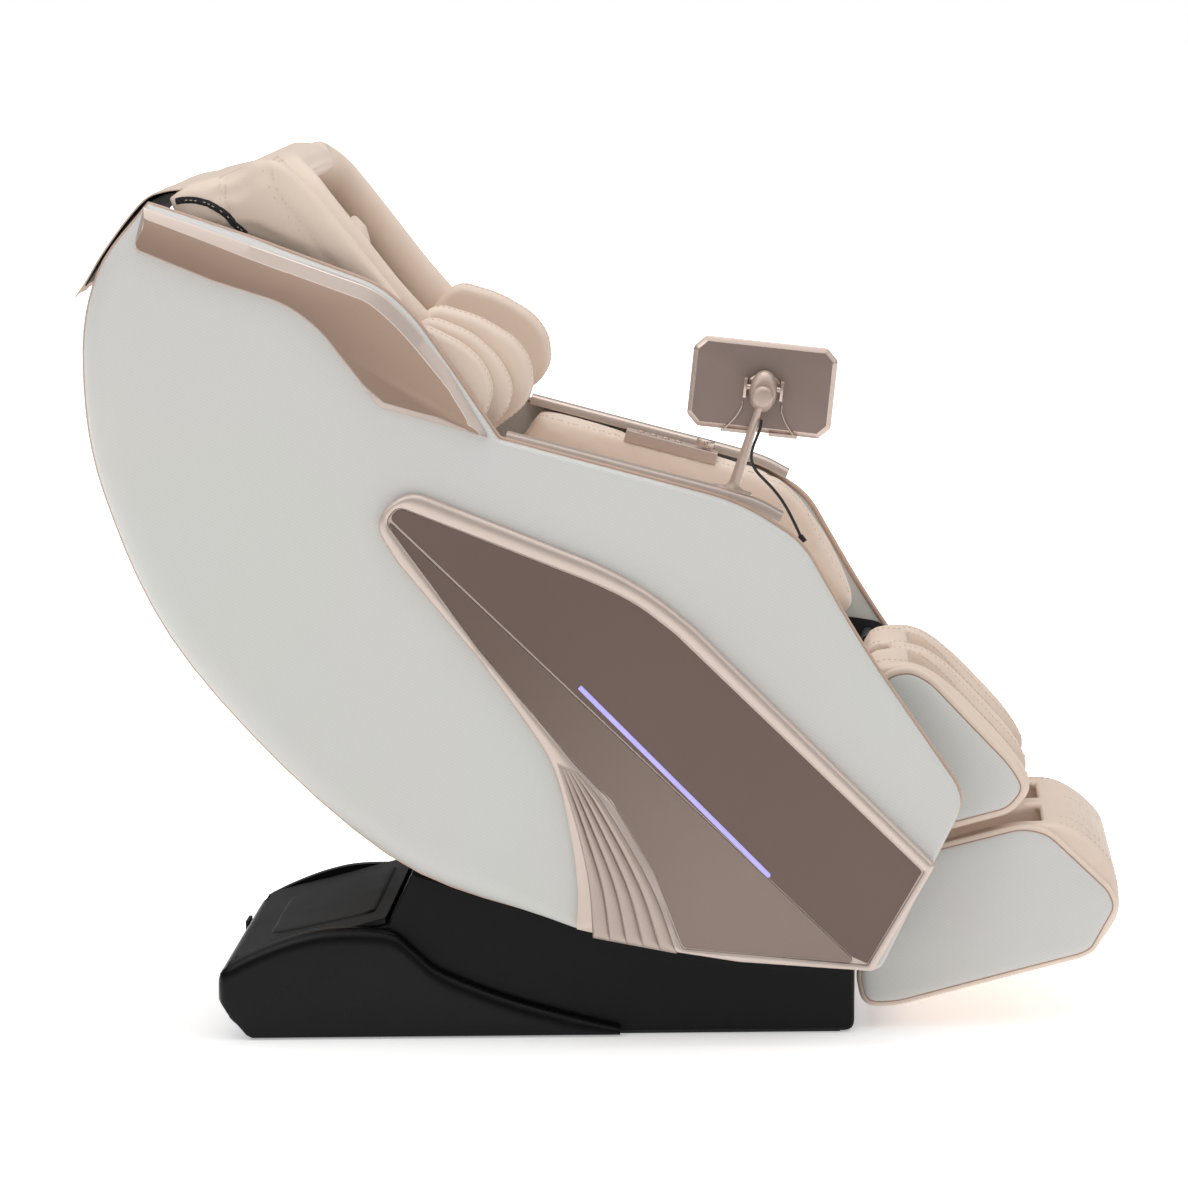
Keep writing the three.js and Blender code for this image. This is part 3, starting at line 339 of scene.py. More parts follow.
def leather(name, colour, deep):
    """Beige PU leather: pebble grain about 1.5 mm across, soft creases, and a slight colour drift."""
    made, tree = finish_named(name)
    place = local(tree)
    pebbles = node(tree, "TexVoronoi", {"feature": "SMOOTH_F1"}, Vector=place, Scale=620.0)
    creases = node(tree, "TexNoise", Vector=place, Scale=22.0, Detail=5.0, Roughness=0.6, Distortion=0.7)
    drift = node(tree, "TexNoise", Vector=place, Scale=5.0, Detail=2.0)
    tint = mixed(tree, drift.outputs[0], deep, colour)
    low = node(tree, "Bump", Height=creases.outputs[0], Strength=0.35, Distance=0.0022)
    fine = node(
        tree, "Bump", Height=pebbles.outputs[0], Strength=0.25, Distance=0.0004, Normal=low.outputs[0]
    )
    lit_by(
        tree, Base_Color=tint, Roughness=0.52, IOR=1.48, Sheen_Weight=0.08, Sheen_Roughness=0.5,
        Normal=fine.outputs[0]
    )
    return made


white_cloth = twill_cloth()
beige = leather("beige_pu_leather", "#e9d7c8", "#dfcab9")
welt_leather = leather("beige_welt_leather", "#cdb1a0", "#bfa08d")
REAR = [[-560, 1117], [-628, 1027], [-650, 905], [-625, 732], [-516, 507], [-264, 255], [-14, 156]]
SIDES = (("right", -1), ("left", 1))
SHELL_INNER, SHELL_OUTER, TRIM_BACK = 0.3337, 0.3745, 0.3755  # distances from the middle plane
SHELL = [[*p] for p in through(REAR, 6).tolist()] + [
    [200, 111], [384, 96, 14], [454, 234], [500, 322, 34], [366, 522, 90], [289, 662, 30], [209, 715, 60],
    [-106, 803], [-166, 894], [-214, 964, 40], [-257, 1005, 40], [-425, 1070],
]
SPINE = mm([[-520, 930], [-470, 700], [-290, 480], [0, 350], [340, 230]])
shell_line = rounded(SHELL, 0.008)
hub = nearest(shell_line, SPINE)
rear_side = np.clip((-0.02 - shell_line[:, 0]) / 0.12, 0, 1)
top_side = np.clip((shell_line[:, 1] - (0.70 - 1.15 * (shell_line[:, 0] + 0.10))) / 0.05, 0, 1)
roll = 0.008 + 0.030 * rear_side * (1 - top_side * (shell_line[:, 0] > -0.555))
roll = np.convolve(np.concatenate([roll[-6:], roll, roll[:6]]), np.ones(13) / 13, "valid")
depth = np.linalg.norm(hub - shell_line, axis=1)
inner_way = (hub - shell_line) / depth[:, None]
for side, sign in SIDES:
    rings = [
        (shell_line + inner_way * 0.006, sign * SHELL_INNER),
        (shell_line + inner_way * 0.0015, sign * (SHELL_INNER + 0.002))
    ]
    for turn in np.linspace(0, math.pi / 2, 9):
        rings.append(
            (
                shell_line + inner_way * (roll * (1 - math.cos(turn)))[:, None],
                sign * (SHELL_OUTER - roll + roll * math.sin(turn))
            )
        )
    for part in np.linspace(0, 0.6, 10)[1:]:
        reach = roll + part * (depth - roll)
        rings.append(
            (shell_line + inner_way * reach[:, None], sign * (SHELL_OUTER + 0.0012 * (1 - (1 - part) ** 2)))
        )
    dressed(
        stacked(f"shell_skin_{side}", rings, 75), white_cloth, "body", "shell_white", f"side_shell_{side}"
    )
    welt = inward(shell_line, 0.001)
    welt = at_y(welt, sign * 0.3345)
    dressed(
        cord_along(f"shell_welt_{side}", welt, 0.0038, 8, closed=True), welt_leather, "body", "leather_beige"
    )

# ---- Upper trims ----
# A bronze ABS blade beside the headrest with a wide polished chamfer on its upper edge. The chamfer is drawn
# in the paler champagne paint: partly its own polished finish, partly a painted highlight of the light from
# above.
# It is moulded, painted with fine metal flake and clipped to the shell.
def flake_paint(name, colour, deep, metal, rough, sparkle=0.5):
    """Moulded ABS under metallic paint: flakes about 0.4 mm apart, drawn 1.2 mm apart so that they show."""
    made, tree = finish_named(name)
    place = local(tree)
    flakes = node(tree, "TexNoise", Vector=place, Scale=820.0, Detail=2.0, Roughness=0.7)
    broad = node(tree, "TexNoise", Vector=place, Scale=2.2, Detail=1.0)
    both = node(
        tree, "Math", {"operation": "MULTIPLY_ADD"}, n0=flakes.outputs[0], n1=sparkle, n2=broad.outputs[0]
    )
    tint = mixed(tree, both.outputs[0], deep, colour)
    bump = node(tree, "Bump", Height=flakes.outputs[0], Strength=0.12, Distance=0.0003)
    lit_by(
        tree, Base_Color=tint, Metallic=metal, Roughness=rough, IOR=1.5, Coat_Weight=0.15,
        Coat_Roughness=0.3, Normal=bump.outputs[0]
    )
    return made


champagne = flake_paint("champagne_painted_abs", "#d8c8be", "#c4b1a5", 0.5, 0.3)
# The flute fan's paint: a darker copy of the champagne, painted shade of its grooves.
flute_shade_paint = flake_paint("shaded_champagne_painted_abs", "#c0afa5", "#ad9b91", 0.5, 0.34)
bronze = flake_paint("bronze_painted_abs", "#ab9180", "#8c7363", 0.5, 0.42)
UPPER = [
    [-562, 1114], [-577, 1059], [-473, 1015], [-380, 984, 40], [-338, 952, 30], [-260, 849], [-118, 807],
    [-166, 893], [-217, 961, 50], [-257, 1001, 50],
]
BLADE_SPINE = mm(
    [
        [-560, 1088], [-545, 1080], [-470, 1042], [-385, 1012], [-310, 960], [-250, 895], [-190, 845],
        [-150, 822]
    ]
)
upper_line = rounded(UPPER, 0.006)
along = np.roll(upper_line, -2, 0) - np.roll(upper_line, 2, 0)
facing = -along[:, 0] / np.linalg.norm(along, axis=1)
blade_hub = nearest(upper_line, BLADE_SPINE) - upper_line
blade_deep = np.linalg.norm(blade_hub, axis=1)
growth = np.interp(upper_line[:, 0], [-0.55, -0.47, -0.42, -0.25, -0.14], [0.012, 0.014, 0.016, 0.018, 0.013])
chamfer = np.where(
    facing > 0.1, growth, np.where((upper_line[:, 0] > -0.27) & (upper_line[:, 1] < 0.87), 0.008, 0.0022)
)
chamfer = np.convolve(np.concatenate([chamfer[-2:], chamfer, chamfer[:2]]), np.ones(5) / 5, "valid")
chamfer = np.minimum(chamfer, 0.6 * blade_deep) / blade_deep
for side, sign in SIDES:
    rings = [
        (upper_line, sign * TRIM_BACK),
        (upper_line, sign * 0.3800),
        (upper_line + blade_hub * (0.0012 / blade_deep)[:, None], sign * 0.3812),
        (upper_line + blade_hub * chamfer[:, None], sign * 0.3880),
        (upper_line + blade_hub * (chamfer + 0.0012 / blade_deep)[:, None], sign * 0.3876),
    ]
    blade = dressed(
        stacked(f"upper_blade_{side}", rings, 20), champagne, "body", "trim_bronze", f"upper_trim_{side}"
    )
    blade.data.materials.append(bronze)
    # The flat faces take the bronze; the chamfer keeps the paler champagne, partly a painted highlight.
    flags = np.zeros(len(blade.data.polygons), int)
    flags[[p.index for p in blade.data.polygons if p.normal.y * sign > 0.98 and len(p.vertices) > 4]] = 1
    blade.data.polygons.foreach_set("material_index", flags)

# ---- Lower trims ----
# A champagne frame round the brown inlay, moulded in one piece, that spreads into flutes at the bottom. The
# flutes are drawn in a darker copy of the champagne paint, painted shade for their grooves.
LOWER = [
    [-226, 742, 40], [-272, 700, 40], [-240, 645],
    *[
        [*p] for p in through(
            [[-135, 516], [-75, 431], [-40, 369], [-18, 278], [-11, 211], [-14, 158]], 4
        ).tolist()
    ],
    [117, 126], [200, 112], [376, 98], [459, 238], [149, 554], [94, 600, 40], [32, 636, 40],
]
INLAY = [
    [-238, 719, 24], [-254, 699, 24], [-135, 531], [-14, 380], [37, 326], [89, 232], [122, 140], [126, 131],
    [368, 107],
    [443, 230], [123, 549], [73, 589, 30], [21, 615, 30],
]
lower_line = rounded(LOWER, 0.006)
pocket_line = nearest(lower_line, rounded(INLAY, 0.003), closed=True)
FLUTES = 5
fan_left = through(mm([[-35, 379], [-9, 285], [4, 215], [8, 147]]), 16)
fan_right = through(mm([[-9, 367], [29, 318], [86, 214], [118, 125]]), 16)
for side, sign in SIDES:
    rings = [(lower_line, sign * TRIM_BACK)]
    for part, y in [
        (0, 0.3835), (0.05, 0.3862), (0.14, 0.3885), (0.30, 0.3898), (0.62, 0.3900), (0.86, 0.3894),
        (0.96, 0.3880), (1, 0.3852)
    ]:
        rings.append((lower_line + (pocket_line - lower_line) * part, sign * y))
    ring = dressed(
        stacked(f"lower_frame_{side}", rings, 35), champagne, "body", "trim_champagne", f"lower_trim_{side}"
    )
    down = np.linspace(0, 1, len(fan_left))[:, None]
    over = np.linspace(0, 1, FLUTES * 10 + 1)[None]
    flat = fan_left[:, None] * (1 - over[..., None]) + fan_right[:, None] * over[..., None]
    arches = np.abs(np.sin(over * math.pi * FLUTES)) ** 0.45
    swell = arches * np.clip(down * 4, 0, 1) * np.clip((1.0 - down) * 40, 0, 1)
    y = sign * (0.3901 + 0.0042 * swell)
    face = np.stack([flat[..., 0], y, flat[..., 1]], 2)
    fan = surface(f"flute_fan_{side}", face, closed_u=False, sharp=50)
    skin = fan.modifiers.new("thickness", "SOLIDIFY")
    skin.thickness = 0.002
    dressed(fan, flute_shade_paint, "body", "trim_champagne")

# ---- Inlays and light bars ----
# Two flat facets of brown painted ABS that meet in a slanting ridge, with an acrylic light bar along it.
# Their one brown paint is drawn as a darker copy on the upper facet and a lighter copy on the lower: painted
# shade and painted light.
CREASE = mm([[-63, 525], [348, 118]])
UPPER_FACET = [
    [-236, 717, 22], [-249, 704, 8], [348, 118], [368, 109], [441, 230], [122, 547], [72, 587, 30],
    [21, 613, 30]
]
LOWER_FACET = [
    [-251, 701, 6], [-247, 690, 6], [-135, 532], [-14, 381], [37, 327], [90, 232], [123, 140], [127, 132],
    [347, 110], [348, 116]
]
# Painted light: one brown paint in two copies, the darker for the upper facet as painted shade, the lighter
# for the lower facet as painted light.
inlay_shaded_copy = flake_paint("brown_painted_abs", "#75625a", "#66534b", 0.5, 0.4)
inlay_lit_copy = flake_paint("lit_brown_painted_abs", "#918076", "#7a695f", 0.5, 0.4)
tree = inlay_lit_copy.node_tree
# Painted shade on the lower facet: its colour darkens to #6b5950 towards its upper rear end.
spot = node(tree, "SeparateXYZ", Vector=local(tree))
lean = node(tree, "Math", {"operation": "SUBTRACT"}, n0=spot.outputs[0], n1=spot.outputs[2])
painted_shade_ramp = node(
    tree, "MapRange", {"interpolation_type": "SMOOTHSTEP"}, Value=lean.outputs[0], From_Min=-0.85,
    From_Max=0.05
)
shader = next(n for n in tree.nodes if n.type == "BSDF_PRINCIPLED")
painted = shader.inputs["Base Color"].links[0].from_socket
tree.links.new(
    node(tree, "Mix", {"data_type": "RGBA"}, n0=painted_shade_ramp.outputs[0], n6=linear("#6b5950"), n7=painted).outputs[2],
    shader.inputs["Base Color"]
)
glow, tree = finish_named("lavender_acrylic_light_bar")
ripple = node(tree, "TexNoise", Vector=local(tree), Scale=60.0)
tint = mixed(tree, ripple.outputs[0], "#a79fe8", "#c3bdf5")
lit_by(tree, Base_Color=tint, Roughness=0.3, Emission_Color=linear("#9c92ee"), Emission_Strength=0.32)


def from_ridge(points):
    """Distance from the ridge line, in metres, for each (x, z) point."""
    a, b = CREASE
    way = (b - a) / np.linalg.norm(b - a)
    return np.abs((points[:, 0] - a[0]) * way[1] - (points[:, 1] - a[1]) * way[0])


for side, sign in SIDES:
    for name, corners, finish, fall in [
        ("upper", UPPER_FACET, inlay_shaded_copy, 0.020), ("lower", LOWER_FACET, inlay_lit_copy, 0.018)
    ]:
        edge = rounded(corners, 0.005)
        top = inward(edge, 0.0003)
        rings = [
            (edge, sign * 0.3840), (edge, sign * (0.3886 - fall * from_ridge(edge))),
            (top, sign * (0.3890 - fall * from_ridge(top)))
        ]
        facet = dressed(stacked(f"inlay_{name}_{side}", rings, 25), finish, "body", "inlay_brown")
        if name == "upper":
            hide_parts(f"inlay_{side}")
    bar_run = mm([[-4, 479], [242, 225]])
    way = (bar_run[1] - bar_run[0]) / np.linalg.norm(bar_run[1] - bar_run[0])
    out = np.array([-way[1], way[0]]) * 0.0032
    edge = evenly(np.vstack([bar_run[0] + out, bar_run[1] + out, bar_run[1] - out, bar_run[0] - out]), 0.006)
    lift = 0.3896 - 0.020 * from_ridge(edge)
    rings = [
        (edge, sign * (lift - 0.003)), (edge, sign * lift), (inward(edge, 0.0008), sign * (lift + 0.0005))
    ]
    dressed(stacked(f"light_bar_{side}", rings, 30), glow, "body", "inlay_brown")

# ---- Hood ----
# A foam-padded leather bonnet over a moulded frame, sewn from panels with topstitched seams.
# It is hollow at the front, where the head goes in, and its rim is a padded roll.
def from_solids(name, voxel, eased, *nodes):
    """The CAD solids welded, rebuilt in squares of the voxel size, and eased by Laplacian smoothing."""
    weld = bmesh.new()
    for n in nodes:
        weld.from_mesh(cad[n].data)
    bmesh.ops.remove_doubles(weld, verts=weld.verts, dist=1e-5)
    mesh = bpy.data.meshes.new(name)
    weld.to_mesh(mesh)
    weld.free()
    rough = placed(name, mesh)
    squares = rough.modifiers.new("squares", "REMESH")
    squares.mode = "VOXEL"
    squares.voxel_size = voxel
    ease = rough.modifiers.new("ease", "SMOOTH")
    ease.iterations = eased
    ease.factor = 0.5
    shape = bpy.data.meshes.new_from_object(rough.evaluated_get(bpy.context.evaluated_depsgraph_get()))
    shape.name = name
    rough.modifiers.clear()
    rough.data = shape
    rough.data.materials.clear()
    rough.data.shade_smooth()
    return rough


def places(piece):
    """The piece's points as an (N, 3) array."""
    at = np.empty(len(piece.data.vertices) * 3)
    piece.data.vertices.foreach_get("co", at)
    return at.reshape(-1, 3)


def normals(piece):
    """The piece's point normals as an (N, 3) array."""
    out = np.empty(len(piece.data.vertices) * 3)
    piece.data.vertices.foreach_get("normal", out)
    return out.reshape(-1, 3)


def put(piece, at):
    """Moves the piece's points to the array."""
    piece.data.vertices.foreach_set("co", np.ascontiguousarray(at).ravel())
    piece.data.update()


def swollen(pads, frames=20):
    """Inflates each (piece, pressure, cap) as weightless cloth; no point moves further than its cap."""
    starts = []
    for pad, pressure, cap in pads:
        starts.append(places(pad))
        cloth = pad.modifiers.new("stuffing", "CLOTH")
        cloth.settings.use_pressure = True
        cloth.settings.uniform_pressure_force = pressure
        cloth.settings.quality = 4
        cloth.settings.mass = 0.3
        cloth.settings.tension_stiffness = 25
        cloth.settings.bending_stiffness = 0.6
        cloth.settings.effector_weights.gravity = 0
        cloth.collision_settings.use_collision = False
        cloth.point_cache.frame_start, cloth.point_cache.frame_end = 1, frames
    for f in range(1, frames + 1):
        bpy.context.scene.frame_set(f)
    graph = bpy.context.evaluated_depsgraph_get()
    for (pad, pressure, cap), start in zip(pads, starts):
        blown = pad.evaluated_get(graph).data
        at = np.empty(len(blown.vertices) * 3)
        blown.vertices.foreach_get("co", at)
        move = at.reshape(-1, 3) - start
        far = np.maximum(np.linalg.norm(move, axis=1), 1e-9)
        pad.modifiers.clear()
        put(pad, start + move * np.minimum(1, cap / far)[:, None])
    bpy.context.scene.frame_set(1)


def seam(piece, line, depth, width, steps=12):
    """Presses a sewn channel into the piece: depth * exp(-(distance / width) ** 2) along its normals."""
    line = through(mm(line), steps)
    at = places(piece)
    low, high = line.min(0) - 4 * width, line.max(0) + 4 * width
    chosen = np.where(((at > low) & (at < high)).all(1))[0]
    spots = nearest(at[chosen], line)
    away = np.linalg.norm(at[chosen] - spots, axis=1)
    at[chosen] -= normals(piece)[chosen] * (depth * np.exp(-((away / width) ** 2)))[:, None]
    put(piece, at)
    return line


def laid_on(piece, line, lift):
    """The line's points moved to the nearest points of the piece's surface, and lifted off it."""
    tree = BVHTree.FromObject(piece, bpy.context.evaluated_depsgraph_get())
    found = [tree.find_nearest(Vector(p)) for p in line]
    return np.array([np.array(spot) + np.array(n) * lift for spot, n, _, _ in found])


def topstitch(name, piece, lines, body, pitch=0.0075, aside=0.0):
    """A row of thread stitches, 5 mm long and 1.2 mm thick, along lines on the piece's surface."""
    starts, ends, ups = [], [], []
    tree = BVHTree.FromObject(piece, bpy.context.evaluated_depsgraph_get())
    for line in lines:
        run = np.concatenate([[0], np.cumsum(np.linalg.norm(np.diff(line, axis=0), axis=1))])
        marks = np.arange(0, run[-1] - 0.005, pitch)
        for m in marks:
            a, b = (np.array([np.interp(m + k, run, line[:, i]) for i in range(3)]) for k in (0, 0.005))
            spot, n, _, _ = tree.find_nearest(Vector((a + b) / 2))
            n = np.array(n)
            shift = np.cross(n, (b - a) / np.linalg.norm(b - a)) * aside
            middle = np.array(spot) + shift + n * 0.0002
            way = (b - a) - n * ((b - a) @ n)
            starts.append(middle - way / 2)
            ends.append(middle + way / 2)
            ups.append(n)
    starts, ends, ups = map(np.array, (starts, ends, ups))
    way = (ends - starts) / np.linalg.norm(ends - starts, axis=1)[:, None]
    over = np.cross(way, ups) * 0.0007
    up = ups * 0.0007
    middle = (starts + ends) / 2
    ring = np.stack([middle + over, middle + up, middle - over, middle - up], 1)
    at = np.concatenate([starts[:, None], ring, ends[:, None]], 1)
    pattern = np.array(
        [[0, 2, 1], [0, 3, 2], [0, 4, 3], [0, 1, 4], [5, 1, 2], [5, 2, 3], [5, 3, 4], [5, 4, 1]]
    )
    faces = (np.arange(len(at))[:, None, None] * 6 + pattern).reshape(-1, 3)
    mesh = bpy.data.meshes.new(name)
    mesh.from_pydata(at.reshape(-1, 3).tolist(), [], faces.tolist())
    made = placed(name, mesh)
    return dressed(made, thread, body, "leather_beige")


thread, tree = finish_named("beige_polyester_thread")
twist = node(tree, "TexWave", Vector=local(tree), Scale=400.0)
tint = mixed(tree, twist.outputs[1], "#c6a48f", "#e6d2c4")
lit_by(tree, Base_Color=tint, Roughness=0.7, Sheen_Weight=0.2)
hood = from_solids("hood_leather", 0.006, 10, "hood")
dressed(hood, beige, "body", "leather_beige", "hood")
arms = {s: from_solids(f"arm_padding_{s}", 0.0055, 7, f"arm_pad_{s}") for s in ("right", "left")}
seat = from_solids("seat_leather", 0.006, 8, "seat_cushion")
back_pad = from_solids("backrest_leather", 0.006, 8, "backrest_pad")
pillow = from_solids("pillow_leather", 0.005, 10, "head_pillow")
half_rim = [
    [-214, 257, 934], [-242, 262, 966], [-266, 266, 995], [-306, 269, 1048], [-344, 268, 1098],
    [-366, 256, 1126], [-386, 222, 1145], [-394, 160, 1152], [-396, 60, 1153]
]
rim = through(mm([[x, -y, z] for x, y, z in half_rim] + half_rim[::-1]), 6)
hood_rim = dressed(cord_along("hood_rim", rim, 0.030, 24, 0.72), beige, "body", "leather_beige")
at = places(pillow)
at[:, 0] -= 0.6 * np.clip(at[:, 0] + 0.34, 0, 1)
put(pillow, at)
flat_back, rearward = places(back_pad), normals(back_pad)[:, 0] < -0.2
swollen(
    [
        (hood, 1.5, 0.004), (arms["right"], 3.0, 0.004), (arms["left"], 3.0, 0.004), (seat, 4.0, 0.012),
        (back_pad, 4.0, 0.010), (pillow, 4.0, 0.010)
    ]
)
at = places(back_pad)
at[rearward] = flat_back[rearward]
put(back_pad, at)
hood_seams = []
for sign in (-1, 1):
    for line in (
        [(-408, 1160), (-396, 1126), (-372, 1092), (-338, 1048), (-292, 985)],
        [(-468, 1146), (-467, 1124), (-457, 1096)],
    ):
        hood_seams.append(seam(hood, [(x, sign * 300, z) for x, z in line], 0.0035, 0.005))
hood_seams.append(seam(hood, [(-393, y, 1178) for y in range(-290, 291, 116)], 0.0035, 0.005))
hood_seams.append(seam(hood, [(-468, y, 1148) for y in range(-290, 291, 116)], 0.0035, 0.005))
topstitch("hood_stitches_front", hood, hood_seams, "body", aside=0.0045)
topstitch("hood_stitches_back", hood, hood_seams, "body", aside=-0.0045)

# ---- Seat, back and head cushions ----
# Foam cores under soft leather: three channels along the seat, two along and two across the back,
# and one topstitched seam across the pillow.
for piece, cad_node in ((seat, "seat_cushion"), (back_pad, "backrest_pad"), (pillow, "head_pillow")):
    dressed(piece, beige, "body", "leather_beige", cad_node)
for y in (-130, 0, 130):
    seam(seat, [(-80, y, 505), (60, y, 502), (200, y, 520), (285, y, 540)], 0.004, 0.007)
for y in (-70, 70):
    seam(back_pad, [(-345, y, 1060), (-250, y, 850), (-170, y, 655), (-130, y, 560)], 0.004, 0.008)
for x, z in ((-300, 965), (-235, 800)):
    seam(back_pad, [(x, y, z) for y in range(-200, 201, 80)], 0.004, 0.008)
pillow_seam = [seam(pillow, [(-262, y, 1000) for y in range(-140, 141, 56)], 0.003, 0.006)]
topstitch("pillow_stitches", pillow, pillow_seam, "body", aside=0.004)

# ---- Shoulder pads ----
# Each shoulder airbag pad is three foam-filled leather lobes side by side, the inner one largest.
# Each lobe is sewn from a side panel and a gusset, with topstitching round its front edge.
def lobe(name, corners, spine, y0, y1, fat):
    """A pillow: its outline at mid thickness, both faces closing to it on a quarter ellipse of reach fat."""
    edge = rounded(corners, 0.006)
    core = mm(spine)
    core = nearest(edge, core) - edge
    deep = np.linalg.norm(core, axis=1)
    reach = np.minimum(fat, 0.8 * deep)
    middle, half = (y0 + y1) / 2000, abs(y1 - y0) / 2000
    rings = []
    for turn in np.linspace(-math.pi / 2, math.pi / 2, 17):
        inset = reach * (1 - math.cos(turn) ** 0.8)
        rings.append((edge + core * (inset / deep)[:, None], middle + half * math.sin(turn)))
    for part in (0.12, 0.3, 0.5):
        inset = reach + (deep - reach) * part
        ring = edge + core * (inset / deep)[:, None]
        rise = 0.0015 * (1 - (1 - part) ** 3)
        rings.append((ring, middle + half + rise))
        rings.insert(0, (ring, middle - half - rise))
    return stacked(name, rings, 89)


LOBES = [
    (
        "inner",
        [
            [-222, 950], [-192, 976, 20], [-134, 958, 24], [-86, 928, 22], [-66, 898, 26], [-64, 860, 24],
            [-78, 836, 20], [-116, 808, 20], [-165, 776, 20], [-230, 740, 20], [-290, 860, 20]
        ],
        222, 266, 0.016
    ),
    (
        "middle",
        [
            [-226, 944], [-196, 962, 20], [-140, 938, 24], [-104, 902, 22], [-88, 866, 20], [-96, 836, 20],
            [-124, 806, 20], [-168, 774, 20], [-230, 742, 20], [-284, 860, 20]
        ],
        262, 298, 0.014
    ),
    (
        "outer",
        [
            [-230, 938], [-204, 954, 20], [-150, 926, 24], [-124, 900, 20], [-112, 866, 18], [-122, 834, 20],
            [-140, 800, 20], [-172, 774, 20], [-230, 744, 20], [-280, 860, 20]
        ],
        294, 326, 0.014
    ),
]
for side, sign in SIDES:
    for place, corners, y0, y1, fat in LOBES:
        pad = lobe(
            f"shoulder_{place}_{side}", corners, [[-250, 850], [-200, 880], [-140, 860]], sign * y0,
            sign * y1, fat
        )
        dressed(pad, beige, "body", "leather_beige")
        if place == "inner":
            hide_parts(f"shoulder_pad_{side}")
        front = [[x, z] for x, z, *_ in corners[1:8]]
        line = through(mm(front), 8)
        for nudge, tag in ((-0.010, "a"), (0.010, "b")):
            y = sign * ((y0 + y1) / 2000 + nudge)
            edge_line = laid_on(pad, at_y(line, y), 0.0)
            topstitch(f"shoulder_{place}_{side}_stitches_{tag}", pad, [edge_line], "body")

# ---- Arm pads and arm caps ----
# Each arm is a padded leather cheek inside, and a glossy champagne cap runs along its top beside the shell.
ARM_SEAM = [(-88, 790), (60, 750), (205, 710), (262, 684), (292, 648), (314, 606), (352, 530)]
RAIL_SECTION = [
    (0.3001, -0.006), (0.3001, 0.0035), (0.3020, 0.0060), (0.3060, 0.0072), (0.3270, 0.0072),
    (0.3315, 0.0062), (0.3332, 0.0038), (0.3332, -0.006)
]
for side, sign in SIDES:
    at = places(arms[side])
    crest = np.interp(at[:, 0], [-0.14, -0.088, 0.205, 0.262, 0.30], [0.74, 0.780, 0.699, 0.674, 0.640])
    at[:, 2] += 0.010 * np.clip(1 - (crest - at[:, 2]) / 0.06, 0, 1) * np.clip((0.30 - at[:, 0]) / 0.05, 0, 1)
    put(arms[side], at)
    dressed(arms[side], beige, "body", "leather_beige", f"arm_pad_{side}")
    lines = []
    for y in (250, 324):
        lines.append(seam(arms[side], [(x, sign * y, z) for x, z in ARM_SEAM], 0.0025, 0.005))
    lines.append(seam(arms[side], [(236, sign * y, 690) for y in (250, 275, 300, 324)], 0.003, 0.005))
    topstitch(f"arm_stitches_{side}", arms[side], lines, "body", aside=0.004 * sign)
    cap_line = through(mm([[-98, 803], [60, 759], [209, 717], [262, 692]]), 10)
    run = np.gradient(cap_line, axis=0)
    run /= np.linalg.norm(run, axis=1)[:, None]
    up = np.stack([-run[:, 1], run[:, 0]], 1)
    rings = [at_y(cap_line + up * h, sign * y) for y, h in RAIL_SECTION]
    cap = surface(f"arm_rail_{side}", np.stack(rings), caps=True, sharp=40)
    dressed(cap, champagne, "body", "trim_champagne", f"arm_cap_{side}")

# ---- Calf rest ----
# Moulded foam in beige leather with two calf channels; white leathercloth panels are sewn into both sides.
def panel_set(tag, corners, rim, near, far, body, *nodes):
    """A beige border cushion round a domed white panel: both rise from the outline on quarter ellipses."""
    for side, sign in SIDES:
        edge = rounded(corners, 0.005)
        core = edge.mean(0) - edge
        deep = np.linalg.norm(core, axis=1)
        core /= deep[:, None]
        rings = [(edge, sign * near)]
        for turn in np.linspace(0, math.pi / 2, 6):
            rings.append(
                (edge + core * 0.007 * (1 - math.cos(turn)), sign * (far - 0.008 + 0.006 * math.sin(turn)))
            )
        rings.append((inward(edge, rim), sign * (far - 0.0022)))
        border = dressed(stacked(f"{tag}_border_{side}", rings, 89), beige, body, "leather_beige")
        inner = inward(edge, rim)
        inner = evenly(inner, 0.005)
        core = inner.mean(0) - inner
        deep = np.linalg.norm(core, axis=1)
        core /= deep[:, None]
        rings = [(inner, sign * (far - 0.006))]
        for turn in np.linspace(0, math.pi / 2, 12):
            rings.append(
                (inner + core * 0.030 * (1 - math.cos(turn)), sign * (far - 0.0028 + 0.0050 * math.sin(turn)))
            )
        for part in (0.25, 0.5, 0.75):
            rings.append(
                (
                    inner + core * (0.030 + (deep - 0.030) * part)[:, None],
                    sign * (far + 0.0022 + 0.0012 * part)
                )
            )
        panel = dressed(
            stacked(f"{tag}_panel_{side}", rings, 89), white_cloth, body, "shell_white",
            *[f"{n}_{side}" for n in nodes]
        )
        seam_line = at_y(inner, sign * (far - 0.0022))
        dressed(
            cord_along(f"{tag}_welt_{side}", seam_line, 0.0011, 6, closed=True), welt_dark, body,
            "leather_beige"
        )


welt_dark = leather("shaded_welt_leather", "#b8988a", "#a38474")
calf = from_solids("calf_leather", 0.005, 6, "calf_body")
foot = from_solids("foot_leather", 0.005, 6, "foot_body")
swollen([(calf, 2.0, 0.003), (foot, 2.0, 0.003)])
dressed(calf, beige, "legrest", "leather_beige", "calf_body")
CALF_RIM = [(372, 482), (425, 489), (464, 471), (530, 402), (570, 356), (588, 320)]
calf_seams = []
for y in (-192, -28, 28, 192):
    calf_seams.append(seam(calf, [(x - 2, y, z - 2) for x, z in CALF_RIM], 0.0015, 0.003))
topstitch("calf_stitches_out", calf, calf_seams, "legrest", aside=0.006)
topstitch("calf_stitches_in", calf, calf_seams, "legrest", aside=-0.006)
CALF_SIDE = [
    [372, 440, 16], [395, 478, 16], [429, 486, 36], [460, 470, 30], [568, 354, 40], [588, 318, 28],
    [562, 286, 16],
    [407, 246, 14],
]
panel_set("calf", CALF_SIDE, 0.009, 0.2400, 0.2520, "legrest", "calf_side")

